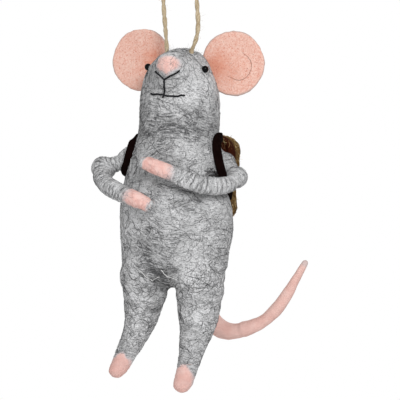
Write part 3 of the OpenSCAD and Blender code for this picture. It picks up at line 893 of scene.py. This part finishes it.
def arm_wool(side):
    """An arm wound with roving in coils, its paw pink in front, and its middle line."""
    line = arm_line(side)
    nodes = ["upper_arm_" + side, "forearm_" + side, "paw_" + side]
    elbow = pivot("elbow_" + side)
    points, faces = felted(nodes, [ball(elbow, ELBOW_R[side], 12)], 0.34, 1.0, 10)
    points = points + 0.22 * normals(points, faces)
    skin = skin_of(points, faces)
    flow = along_line(points, line)
    round_it = np.arctan2(flow[:, 1], flow[:, 0]) / (2 * np.pi)
    wander = 1.5 * noise(points * 0.3, 91)
    wraps = 0.5 + 0.5 * np.sin(2 * np.pi * (flow[:, 2] / 1.7 + round_it) + 1.8 * wander)
    groove = (1 - wraps) ** 4
    wool_relief(skin, flow * [0.6, 0.6, 1], 0.07, 0.15)
    wrist = length_of(line) - PAW_LENGTH[side]
    calm = ease(flow[:, 2], wrist + 2, wrist - 2)
    raise_skin(skin, -0.26 * groove * calm)
    n = skin["normals"]
    skin["flow"] = flow
    tip = length_of(line) - flow[:, 2]
    far = ease(tip + 0.9 * noise(points * 0.4, 92), PAW_LENGTH[side] + 1.5, PAW_LENGTH[side] - 4.5)
    front = ease(-n[:, 1] + 0.3 * n[:, 2] + 0.2 * noise(points * 0.4, 93), -0.35, 0.3)
    skin["pink"] = far * front * ease(tip + 0.4 * noise(points * 0.6, 96), -0.6 + 0.5 * SIDES[side], 0.6)
    # Painted shade in the grooves between the coils, and the whole arm drawn a little paler as painted light
    skin["shade"] = 1.4 * groove * calm * ease(noise(points * 0.35, 94), -0.5, 0.3) - 0.3
    return skin, line


def coil_way(line):
    """The way that roving runs round an arm."""

    def way(points, n):
        close = ((points[:, None] - line[None, ::4]) ** 2).sum(-1).argmin(1)
        ahead = unit(np.gradient(line, axis=0))[::4][close]
        round_it = unit(np.cross(ahead, n))
        return unit(round_it + 0.35 * ahead)

    return way


def bend_arm(thing):
    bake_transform(thing)


for side in SIDES:
    skin, line = arm_wool(side)
    middle = skin["flow"][:, 2][skin["faces"]].mean(axis=1)
    on_paw = middle > length_of(line) - PAW_LENGTH[side]
    arm = show(side + "_arm_wool", cut(skin, ~on_paw), wool)
    bend_arm(arm)
    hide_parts("upper_arm_" + side, "forearm_" + side)
    paw = show(side + "_paw_wool", cut(skin, on_paw), wool)
    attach(paw, side + "_forearm")
    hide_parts("paw_" + side)
    lying = fibres(
        side + "_paw_fibres", cut(skin, on_paw), 150, (2.0, 5.0), (0.05, 0.1), coil_way(line),
        98 + SIDES[side], fibre, 0.9, 0.3,
    )
    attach(lying, side + "_forearm")
    lying = fibres(
        side + "_arm_fibres", cut(skin, ~on_paw), 700, (2.0, 5.0), (0.06, 0.12), coil_way(line),
        95 + SIDES[side], fibre, 0.3, 0.12,
    )
    bend_arm(lying)


# ---------------------------------------------------------------- tail

# Middle line of the tail, as X, Y and height
TAIL_LINE = [
    (0, 8.5, 50), (0, 11.5, 50), (0.6, 15.4, 44.6), (1.8, 16.8, 37), (4.2, 16.4, 29.4), (8.8, 15, 23.2),
    (14.4, 13.7, 21), (20.5, 12.6, 21.9), (26.8, 11.7, 24.2), (32.4, 10.9, 28.4), (37.4, 10, 34.5),
    (41.6, 9, 41.1), (45, 8, 46.4),
]
CURL = pivot("tail_curl")
CURL_WAY = unit(at(*TAIL_LINE[8]) - at(*TAIL_LINE[6]))  # the way the tail runs at its curl


def tail_wool():
    """The tail in one skin, with lumps of wool over its curl and uneven along its length."""
    lumps = [ball(CURL + k * CURL_WAY, r, 12) for k, r in ((-2.4, 2.75), (0, 2.7), (2.4, 2.6))]
    points, faces = felted(["tail_base", "tail_tip"], lumps, 0.34, 0.9, 12)
    skin = skin_of(points, faces)
    line = spline([at(*p) for p in TAIL_LINE], 260)
    flow = along_line(points, line)
    swell = 0.22 * noise(flow * [0.15, 0.15, 0.16], 101) + 0.1 * noise(points * 0.4, 102)
    grooves = 0.05 * noise(flow * [1.3, 1.3, 0.25], 103)
    raise_skin(skin, swell + grooves)
    skin["flow"] = flow
    skin["shade"] = ease(flow[:, 2], length_of(line) - 1.5, length_of(line)) * 0.6
    return skin


tail = show("tail_wool", tail_wool(), tail_paint())
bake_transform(tail)
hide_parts("tail_base", "tail_tip")


# ---------------------------------------------------------------- ears


EAR_THICK = 1.6


def ear(side):
    """A felt disc, a little wavy and dished, in the CAD ear's place."""
    shape, _ = cad_shape("ear_" + side)
    shape = np.unique(shape.round(3), axis=0)
    low, high = shape.min(0), shape.max(0)
    centre = (low + high) / 2
    axis = np.linalg.svd(shape - centre, full_matrices=False)[2][2]
    axis = axis * -np.sign(axis[1])
    right = unit(np.cross(Z_AXIS, axis))
    up = np.cross(axis, right)
    radius = (high[2] - low[2]) / 2
    seed = 111 if side == "left" else 121
    columns, rows = 220, 40
    turn = np.linspace(0, 2 * np.pi, columns, endpoint=False)
    edge = radius * (0.985 + 0.02 * np.sin(2 * turn + seed) + 0.012 * np.sin(5 * turn + 2 * seed))
    edge += 0.12 * noise(np.stack([8 * np.cos(turn), 8 * np.sin(turn), 0 * turn], 1), seed)
    # Profile from the front's middle, over the rim, to the back's middle: distance out and depth
    half = EAR_THICK / 2
    rim = np.linspace(0, np.pi, 9)[1:-1]
    front = np.linspace(1 / rows, 1, rows) * (1 - half / radius)
    out = np.concatenate([front, 1 - half / radius + half / radius * np.sin(rim), front[::-1]])[:, None]
    deep = np.concatenate([np.full(rows, half), half * np.cos(rim), np.full(rows, -half)])[:, None]
    rings = np.stack([out * edge * np.cos(turn), out * edge * np.sin(turn), deep + 0 * turn], axis=-1)
    flat, faces = capped(rings, [0, 0, half], [0, 0, -half])
    far = np.linalg.norm(flat[:, :2], axis=1) / radius
    dish = -0.5 * (1 - far**2) + 0.35 * noise(flat * [0.12, 0.12, 0], seed + 1)
    fuzz = 0.07 * noise(flat * [0.9, 0.9, 0.6], seed + 2, 3)
    flat[:, 2] += dish + fuzz * np.sign(flat[:, 2] + 0.01)
    points = centre + flat @ np.stack([right, up, axis])
    n = normals(points, faces)
    if ((points - centre) * n).sum() < 0:
        faces = faces[:, ::-1]
        n = -n
    inward = -right * np.sign((centre - at(0, 0, 0))[0]) * np.sign(right[0])
    root_at = centre + inward * radius * 0.55 - up * radius * 0.15
    warm = np.exp(-((np.linalg.norm(points - root_at, axis=1) / 6.5) ** 2))
    # Painted shade along the rim
    shade = ease(far, 0.93, 1.0)
    return {"points": points, "faces": faces, "normals": n, "pink": warm, "shade": shade}


ear_felt = ear_paint()
ears = {side: ear(side) for side in SIDES}
for side in SIDES:
    disc = show(side + "_ear_felt", ears[side], ear_felt)
    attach(disc, "mouse")
    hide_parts("ear_" + side)


# ---------------------------------------------------------------- face

TORSO_TREE = tree_of(parts["torso"])
NOSE_AT = at(1.7, -18.5, 117.3)
NOSE_HALF = np.array([4.1, 1.0, 2.7])


def nose():
    """A thin patch of pink wool on the front of the snout, thinning to nothing at its edge."""
    points, faces = parts["torso"]["points"], parts["torso"]["faces"]
    off = (points - NOSE_AT) / NOSE_HALF
    low_point = 1 + 0.25 * ease(-off[:, 2], 0.3, 1.2) * ease(np.abs(off[:, 0]), 0.6, 0.0)
    share = np.hypot(off[:, 0], off[:, 2] / low_point) + 0.07 * noise(points * 0.6, 131)
    near = (share < 1.5) & (points[:, 1] < NOSE_AT[1] + 6)
    patch = cut({**parts["torso"], "share": share}, near[faces].all(axis=1))
    rise = 0.12 * np.sqrt(np.clip(1 - (patch["share"] / 1.4) ** 2, 0, 1)) - 0.03
    rise = np.where(patch["share"] > 1.4, -0.03 - 1.2 * (patch["share"] - 1.4), rise)
    top = patch["points"] + patch["normals"] * rise[:, None]
    deep = patch["points"] - 0.5 * patch["normals"]
    count = len(top)
    points = np.vstack([top, deep])
    faces = np.vstack([patch["faces"], patch["faces"][:, ::-1] + count, rim_faces(patch["faces"], count)])
    skin = skin_of(points, faces)
    skin["flow"] = np.tile(patch["flow"], (2, 1))
    skin["pink"] = np.tile(ease(patch["share"], 1.35, 0.65), 2)
    skin["shade"] = np.tile(patch["shade"], 2)
    return skin


def rim_faces(faces, count):
    """Quads that join the open edge of a patch to the same edge count vertices on."""
    a, b = faces.ravel(), np.roll(faces, -1, axis=1).ravel()
    forward = set(zip(a.tolist(), b.tolist()))
    return np.array([(j, i, i + count, j + count) for i, j in forward if (j, i) not in forward])


cap = show("nose_wool", nose(), wool)
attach(cap, "mouse")
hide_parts("nose")


BEAD_GROWTH = 1.06  # the beads look this much larger than the CAD's


def bead(side):
    """A glossy bead with a small hole at each end of its bore."""
    low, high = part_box("eye_" + side)
    radius = BEAD_GROWTH * (high[0] - low[0]) / 2 / MM
    centre = centre_of("eye_" + side) + [0.2 * SIDES[side], -0.35, 0]
    angle = np.linspace(0.16, np.pi - 0.16, 30)
    out = np.concatenate([[0.02, 0.1], np.sin(angle), [0.1, 0.02]]) * radius
    tall = np.concatenate([[0.86, 0.88], np.cos(angle) * 0.96, [-0.88, -0.86]]) * radius
    turn = np.linspace(0, 2 * np.pi, 48, endpoint=False)
    outward = unit(centre * X_AXIS)
    axis = unit(outward + [0, -0.75, 0.2])
    right = unit(np.cross(Z_AXIS, axis))
    up = np.cross(axis, right)
    rings = (
        centre
        + out[:, None, None] * (np.cos(turn)[:, None] * right + np.sin(turn)[:, None] * up)
        + tall[:, None, None] * axis
    )
    points, faces = capped(rings, rings[0].mean(0), rings[-1].mean(0))
    return skin_of(points, faces[:, ::-1])


black_bead = bead_paint()
for side in SIDES:
    eye = show(side + "_eye_bead", bead(side), black_bead)
    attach(eye, "mouse")
    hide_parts("eye_" + side)

# Stitches along the face, as X, Y and height
STITCHES = {
    "muzzle_left": [(0, -18, 112), (-1.3, -18.3, 113.5), (-3.3, -16.9, 115.1)],
    "muzzle_right": [(0, -18, 112), (3.4, -19.4, 113.2), (6.2, -18.2, 115)],
    "muzzle_line": [(0, -18, 112), (-0.8, -15, 109), (-1.6, -11.9, 105.6)],
    "mouth_left": [(-6, -10.4, 107.4), (-4, -12.1, 107), (-1.4, -13, 106.8)],
    "mouth_right": [(-1.4, -13, 106.8), (0.8, -13, 106.2), (2.9, -12.4, 106), (5.5, -11.4, 106.6)],
}
THREAD_R = 0.35


def stitch(route):
    """Two-ply thread pressed into the wool, its ends going in."""
    line = spline([at(*p) for p in route], 60)
    u = np.linspace(0, 1, len(line))
    sunk = 0.18 - 0.65 * (ease(u, 0.05, 0.0) + ease(u, 0.95, 1.0))
    ground, n = nearest(TORSO_TREE, line)
    for _ in range(4):
        n[1:-1] = unit(n[:-2] + n[1:-1] + n[2:])
        ground[1:-1] = (ground[:-2] + 2 * ground[1:-1] + ground[2:]) / 4
    line = ground + n * sunk[:, None]
    points, faces, _ = tube(line, THREAD_R, 12, Y_AXIS + 0.01 * X_AXIS, 2, 0.22, 1.3)
    return points, faces


thread = thread_paint()


def stitches(name, routes, node):
    """Several stitches as one piece, in a CAD node's place."""
    made = show(name, skin_of(*heap([stitch(STITCHES[r]) for r in routes])), thread)
    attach(made, "mouse")
    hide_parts(node)


stitches("muzzle_thread", ["muzzle_left", "muzzle_right", "muzzle_line"], "muzzle_stitch")
stitches("mouth_thread", ["mouth_left", "mouth_right"], "mouth_stitch")


# ---------------------------------------------------------------- twine

CORD_D = 1.7
CORD_IN = 2.0  # how far the twine runs on into the wool
CORD_SIDES = 28
CORD_PITCH = 8.5  # length of twine in which its plies wind round once
# The loop's route: up one strand, over the top and down the other
CORD_ROUTE = [
    (-4.7, 0, -64.5), (-4.9, 0, -61), (-5.3, 0, -56), (-5.8, 0, -50), (-6.2, 0, -44),
    (-6.6, 0, -38), (-7, 0, -32), (-7.2, 0, -26), (-7.2, 0, -20), (-6.9, 0, -14),
    (-6.1, 0, -8.6), (-4.7, 0, -4.4), (-2.6, 0, -1.8), (0, 0, -0.9), (2.6, 0, -1.8),
    (4.7, 0, -4.4), (6.1, 0, -8.6), (6.9, 0, -14), (7.2, 0, -20), (7.2, 0, -26),
    (7, 0, -32), (6.8, 0, -38), (6.7, 0, -44), (7, 0, -49.5), (7.3, 0, -54),
    (7, 0, -58), (6, 0, -61.6), (4.7, 0, -64.5),
]


def twine():
    """Two-ply jute, uneven in thickness, along the loop's route."""
    route = np.array(CORD_ROUTE)
    deeper = CORD_IN * Z_AXIS
    line = spline(np.vstack([route[0] - deeper, route, route[-1] - deeper]), 520)
    uneven = 1 + 0.13 * noise(line * 0.22, 141) + 0.05 * noise(line * 0.9, 142)
    points, faces, along = tube(line, CORD_D / 2 * uneven, CORD_SIDES, Y_AXIS, 2, 0.3, CORD_PITCH)
    skin = skin_of(points, faces)
    raise_skin(skin, 0.05 * noise(points * 1.4, 143, 2))
    along = np.repeat(along, CORD_SIDES)
    turn = np.tile(np.linspace(0, 2 * np.pi, CORD_SIDES, endpoint=False), len(line))
    turn = turn - 2 * np.pi * along / CORD_PITCH
    skin["flow"] = np.zeros_like(points)
    skin["flow"][: len(along)] = np.stack([along * 0.6, np.cos(turn), np.sin(turn)], axis=1)
    return skin, line


skin, line = twine()
cord = show("jute_loop", skin, twine_paint())
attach(cord, "hanger")
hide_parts("hanging_cord")
jute = fibre_paint("jute_fibre", (0.2, 0.14, 0.08), (0.5, 0.4, 0.27), (0.75, 0.66, 0.5))
chosen = np.random.default_rng(151).choice(len(skin["points"]) - 2, 260)
loose = stray("jute_hairs", skin, chosen, (1.0, 3.0), (0.03, 0.06), 152, jute, 1.2, 0.3)
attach(loose, "hanger")


# ---------------------------------------------------------------- backpack

# Strap route on the torso as height and angle round it, 0 at the mouse's left and 90 at its back
STRAP_TOP = [(90.8, 62), (92, 38), (92.1, 12), (91.5, -9), (89, -16)]
STRAP_LOW = {
    "left": [(86, -17), (82, -16), (77, -13), (73.5, -7), (71.5, 8), (70.5, 28), (70, 48)],
    "right": [(86, -15), (83.3, -14), (81, -8), (79, 2), (76.5, 14), (73, 28), (70, 48)],
}
STRAP_W, STRAP_T = 3.5, 1.1  # width and thickness
STRAP_LIFT = 0.15  # gap between a strap and the wool
STRAP_TURN = {"left": 0.75, "right": 1.7}  # how far each strap's face turns to the front of the chest


def on_torso(height, angle):
    """Where a level ray from the torso's axis at that angle comes out of the wool, and the way out."""
    way = Vector((math.cos(math.radians(angle)), math.sin(math.radians(angle)), 0))
    start = Vector((CENTRE_LINE[0], CENTRE_LINE[1], height - HANG)) + way * 40
    place, n, _, _ = TORSO_TREE.ray_cast(start, -way)
    return np.array(place), np.array(n)


def strap(side):
    """A felt strip that lies on the wool, over the shoulder and under the arm."""
    route = [(h, a if side == "left" else 180 - a) for h, a in STRAP_TOP + STRAP_LOW[side]]
    fine = spline([(h, a, 0) for h, a in route], 170)
    found = [on_torso(h, a) for h, a, _ in fine]
    line = np.array([f[0] for f in found])
    n = np.array([[f[1][0], f[1][1], 0.3 * f[1][2]] for f in found])
    for _ in range(12):
        n[1:-1] = unit(n[:-2] + n[1:-1] + n[2:])
        line[1:-1] = (line[:-2] + line[1:-1] + line[2:]) / 3
    ahead = unit(np.gradient(line, axis=0))
    angle = np.array([a if side == "left" else 180 - a for _, a, _ in fine])
    turned = STRAP_TURN[side] * ease(angle, 40, 5)
    flat_n = unit(n - (n * ahead).sum(1)[:, None] * ahead)
    n = unit(n - turned[:, None] * Y_AXIS)
    n = unit(n - (n * ahead).sum(1)[:, None] * ahead)
    across = np.cross(ahead, n)
    tilt = np.sqrt(np.clip(1 - (n * flat_n).sum(1) ** 2, 0, 1))
    line = line + flat_n * (STRAP_W / 2 * tilt * 0.55)[:, None]
    width = STRAP_W / 2 * (1 + 0.05 * noise(line * 0.3, 161))
    turn = np.linspace(0, 2 * np.pi, 26, endpoint=False)
    wide = np.sign(np.cos(turn)) * np.abs(np.cos(turn)) ** 0.45
    thick = np.sign(np.sin(turn)) * np.abs(np.sin(turn)) ** 0.6
    lift = STRAP_LIFT + STRAP_T / 2
    rings = (
        line[:, None]
        + (width[:, None] * wide)[..., None] * across[:, None]
        + (lift + STRAP_T / 2 * thick)[None, :, None] * n[:, None]
    )
    points, faces = capped(rings, line[0] + lift * n[0], line[-1] + lift * n[-1])
    around = normals(points, faces)
    if ((points - line.mean(0)) * around).sum() < 0:
        faces, around = faces[:, ::-1], -around
    return skin_of(points + around * (0.06 * noise(points * 1.6, 162, 2))[:, None], faces)


strap_felt = felt_paint("strap_felt", (0.002, 0.0008, 0.0008), (0.009, 0.003, 0.0025), (0.02, 0.01, 0.008))
for side in SIDES:
    strip = show(side + "_strap_felt", strap(side), strap_felt)
    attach(strip, "mouse")
    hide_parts("strap_" + side)

# Dark fuzz on the chest beside the left strap's lower end
smudge = np.linalg.norm(parts["torso"]["points"] - at(15.2, -7.6, 77), axis=1) < 3.2
black_fuzz = fibre_paint("black_fuzz", (0.004, 0.003, 0.003), (0.012, 0.008, 0.008), (0.03, 0.02, 0.02))
fuzz = fibres(
    "strap_fuzz", parts["torso"], 260, (1.0, 3.0), (0.08, 0.15), wrapped_way,
    221, black_fuzz, 1.5, 0.4, 0.05, smudge,
)
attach(fuzz, "mouse")


CLOTH_SIZE = 1.1  # distance between the cloth's threads
CLOTH_SCALE = 0.02  # metres for each millimetre while the cloth is blown up
CLOTH_PRESSURE = 4.0
CLOTH_FRAMES = 20
CLOTH_CAP = 1.2  # the cloth moves no point further than this
CLOTH_ROOM = 0.25  # the bag is made this much larger, as its edges draw in


def stuffed(node):
    """A bag's cloth blown up by its stuffing, held where it lies on the mouse: points and their moves."""
    points, faces = voxel(*cad_shape(node), CLOTH_SIZE)
    n = normals(points, faces)
    free = ease(n[:, 1], -0.6, 0.1)
    middle = points.mean(axis=0)
    thing = placed("stuffing", mesh_of("stuffing", (points - middle) * CLOTH_SCALE, faces))
    held = thing.vertex_groups.new(name="held")
    for index, share in enumerate(free):
        held.add([index], float(1 - share), "REPLACE")
    cloth = thing.modifiers.new("cloth", "CLOTH").settings
    cloth.use_pressure = True
    cloth.uniform_pressure_force = CLOTH_PRESSURE
    cloth.vertex_group_mass = "held"
    cloth.effector_weights.gravity = 0
    for step in range(CLOTH_FRAMES):
        bpy.context.scene.frame_set(step + 1)
    blown = thing.evaluated_get(bpy.context.evaluated_depsgraph_get()).to_mesh()
    end, _ = arrays_of(blown)
    moves = end / CLOTH_SCALE + middle - points
    bpy.data.objects.remove(thing)
    bpy.context.scene.frame_set(1)
    size = np.linalg.norm(moves, axis=1)
    moves = moves * (CLOTH_CAP / (CLOTH_CAP + size))[:, None]
    return points, moves + n * (CLOTH_ROOM * free)[:, None]


def carried(points, start, moves):
    """How points move that lie near the starts of others, whose moves are known."""
    tree = KDTree(len(start))
    for index, place in enumerate(start):
        tree.insert(place, index)
    tree.balance()
    out = np.zeros_like(points)
    for index, place in enumerate(points):
        near = tree.find_n(place, 8)
        share = np.array([1 / (distance + 0.3) ** 2 for _, _, distance in near])
        out[index] = share @ moves[[which for _, which, _ in near]] / share.sum()
    return out


def felt_part(node, size, reach, seed, fuzz, cloth):
    """A part of the pack that moves with its blown-up cloth, sags and is matted."""
    points, faces = felted([node], (), size, reach, 10)
    points = points + carried(points, *cloth)
    skin = skin_of(points, faces)
    sag = 0.35 * noise(points * 0.1, seed) + 0.2 * noise(points * 0.25, seed + 1)
    raise_skin(skin, sag + fuzz * noise(points * 1.1, seed + 2, 3))
    # Painted shade: the felt is drawn dark in a round patch high on each side, near the back of the mouse
    off = (skin["points"] - at(0, 7, 88)) / [1, 7.6, 6]
    skin["shade"] = ease(np.hypot(off[:, 1], off[:, 2]), 1.6, 0.5)
    return skin


stuffing = stuffed("backpack_bag")
bag = felt_part("backpack_bag", 0.4, 0.2, 171, 0.07, stuffing)
# The last colour is painted shade on the pack's side near the mouse's back
olive = felt_paint(
    "pack_felt", (0.02, 0.009, 0.003), (0.22, 0.12, 0.04), (0.5, 0.38, 0.2), (0.02, 0.0045, 0.002)
)
sack = show("backpack_sack", bag, olive)
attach(sack, "mouse")
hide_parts("backpack_bag")
flap = felt_part("backpack_flap", 0.3, 0.1, 181, 0.06, stuffing)
cover = show("backpack_cover", flap, olive)
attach(cover, "mouse")
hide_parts("backpack_flap")

# Pale and dark fibres matted over the pack, fewer where painted shade darkens its felt, and short hairs that
# stand off it
flecks = fibre_paint("pack_flecks", (0.05, 0.02, 0.007), (0.42, 0.26, 0.09), (0.72, 0.56, 0.3))
for part, skin, count, seed in (("sack", bag, 1600, 231), ("cover", flap, 900, 232)):
    outside_painted_shade = noise(skin["points"] * 0.4, 233) > skin["shade"] - 0.6
    matted = fibres(
        part + "_fibres", skin, count, (1.0, 3.2), (0.09, 0.18), wrapped_way,
        seed, flecks, 1.6, 0.5, 0.04, outside_painted_shade,
    )
    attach(matted, "mouse")
    edge = np.random.default_rng(seed + 10).choice(len(skin["points"]), count // 2)
    haze = stray(part + "_hairs", skin, edge, (0.8, 1.8), (0.05, 0.1), seed + 20, flecks, 0.8, 0.3)
    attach(haze, "mouse")


# ---------------------------------------------------------------- loose hairs

crown = np.flatnonzero(parts["torso"]["points"][:, 2] > at(0, 0, 121.5)[2])
chosen = np.random.default_rng(191).choice(crown, 260)
tuft = stray("crown_hairs", parts["torso"], chosen, (0.8, 3.0), (0.03, 0.06), 192, fibre)
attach(tuft, "mouse")

# Single hairs that stand out, as X, Y and height: pale ones over the crotch and one on the left ear
CROTCH_HAIRS = [
    [(-12, -14, 44.6), (-9.6, -15, 43.3), (-7.6, -15, 40.8), (-6.6, -14, 37.6)],
    [(-6.6, -14, 37.6), (-5.9, -14.6, 39.2), (-4.9, -14.4, 40.1), (-3.6, -14, 40.6)],
    [(-2.4, -14, 44.6), (-1.6, -15, 42.6), (0.2, -15, 40.8), (2.4, -14, 39.4)],
]
EAR_HAIR = [(21.4, 7, 123.7), (24.9, 7, 119.9), (24.2, 7, 115.5), (20.7, 7, 113.1), (15.8, 7, 114.9)]


def single_hairs(name, routes, ground, width, tone, paint, lift):
    """Hairs that follow routes over a tree's surface, and stand off it by lift in their middle."""
    lines, ups = [], []
    for route in routes:
        under, n = nearest(ground, spline([at(*p) for p in route], 13))
        stand = lift * np.sin(np.linspace(0, np.pi, len(n)))
        lines.append(under + n * (width / 2 + stand)[:, None])
        ups.append(n)
    made, quads = strand_mesh(np.array(lines), np.array(ups), np.full(len(routes), width), 0.25)
    shades = {"tone": np.full(len(made), tone), "pink": np.zeros(len(made))}
    thing = piece(name, made, quads, paint, shades)
    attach(thing, "mouse")
    return thing


pale = single_hairs("crotch_hairs", CROTCH_HAIRS, TORSO_TREE, 0.26, 1.0, long_fibre, 0.5)
brown_hair = fibre_paint("brown_hair", (0.2, 0.08, 0.05), (0.28, 0.12, 0.08), (0.36, 0.17, 0.11))
arc = single_hairs("ear_hair", [EAR_HAIR], tree_of(ears["left"]), 0.16, 0.5, brown_hair, 0.1)


# ---------------------------------------------------------------- pieces kept from the CAD

steel = wire_paint()
for name, node in frame["nodes"].items():
    if node.hide_render:
        continue
    node.data.materials.clear()
    if "wire" in name:
        node.data.materials.append(steel)
    elif "cord" in name:
        node.data.materials.append(cord.data.materials[0])
    else:
        node.data.materials.append(thread)


# ---------------------------------------------------------------- stage

VIEW_AZIMUTH = math.radians(18)
VIEW_ELEVATION = math.radians(-1)
VIEW_AWAY = 700.0
VIEW_WIDE = 146.0  # how much of the plane through the mouse the picture takes in
SENSOR = 36.0
WORLD_LIGHT = 0.46
FLOOR_R = 280.0
FLOOR_SIDES = 96
FLOOR_DROP = 60.0  # how far the floor lies under the soles


def camera():
    a, e = VIEW_AZIMUTH, VIEW_ELEVATION
    back = np.array([math.sin(a) * math.cos(e), -math.cos(a) * math.cos(e), math.sin(e)])
    target = at(7.3 * math.cos(a), 7.3 * math.sin(a), 69.35)
    data = bpy.data.cameras.new("camera")
    data.sensor_width = SENSOR
    data.lens = SENSOR * VIEW_AWAY / VIEW_WIDE
    data.clip_start, data.clip_end = 0.01, 20
    thing = placed("camera", data)
    thing.location = (target + back * VIEW_AWAY) * MM
    thing.rotation_euler = Vector(-back).to_track_quat("-Z", "Y").to_euler()
    bpy.context.scene.camera = thing


def lamp(name, off, size, power):
    """A round white lamp, off metres from the middle of the mouse and aimed at it."""
    data = bpy.data.lights.new(name, "AREA")
    data.shape, data.size, data.energy = "DISK", size, power
    thing = placed(name, data)
    thing.location = at(0, 0, 65) * MM + off
    thing.rotation_euler = Vector(off).to_track_quat("Z", "Y").to_euler()


def white_room():
    """A plain white world that lights the object more softly than it shows behind it."""
    world = bpy.data.worlds.new("white_room")
    world.use_nodes = True
    tree = world.node_tree
    paper, soft = tree.nodes["Background"], tree.nodes.new("ShaderNodeBackground")
    paper.inputs["Color"].default_value = soft.inputs["Color"].default_value = (1, 1, 1, 1)
    paper.inputs["Strength"].default_value = 1.0
    soft.inputs["Strength"].default_value = WORLD_LIGHT
    seen = tree.nodes.new("ShaderNodeLightPath")
    mix = tree.nodes.new("ShaderNodeMixShader")
    tree.links.new(seen.outputs["Is Camera Ray"], mix.inputs[0])
    tree.links.new(soft.outputs[0], mix.inputs[1])
    tree.links.new(paper.outputs[0], mix.inputs[2])
    tree.links.new(mix.outputs[0], tree.nodes["World Output"].inputs["Surface"])
    bpy.context.scene.world = world


def floor():
    """A pale round floor well under the hanging mouse."""
    turn = np.linspace(0, 2 * np.pi, FLOOR_SIDES, endpoint=False)
    ring = np.stack([np.cos(turn), np.sin(turn), 0 * turn], axis=1) * FLOOR_R
    points = np.vstack([ring, [0, 0, 0]]) + at(0, 0, -FLOOR_DROP)
    k = np.arange(len(ring))
    faces = np.stack([k, (k + 1) % len(ring), 0 * k + len(ring)], axis=1)
    p = Paint("floor_paint", 0.9)
    grain = p.noise(p.layer("rest"), (0.05,) * 3, detail=3)
    paint = p.finish(p.mix(grain, (0.88, 0.88, 0.88), (0.92, 0.92, 0.92)), grain, 0.02)
    piece("floor", points, faces, paint)


camera()
white_room()
floor()
lamp("key", (0.5, -0.72, 0.42), 0.38, 6.5)
lamp("fill", (-0.3, -0.95, -0.12), 0.8, 2.2)
lamp("back", (-0.25, 0.95, 0.35), 0.7, 4.0)
bpy.context.scene.view_settings.view_transform = "Standard"
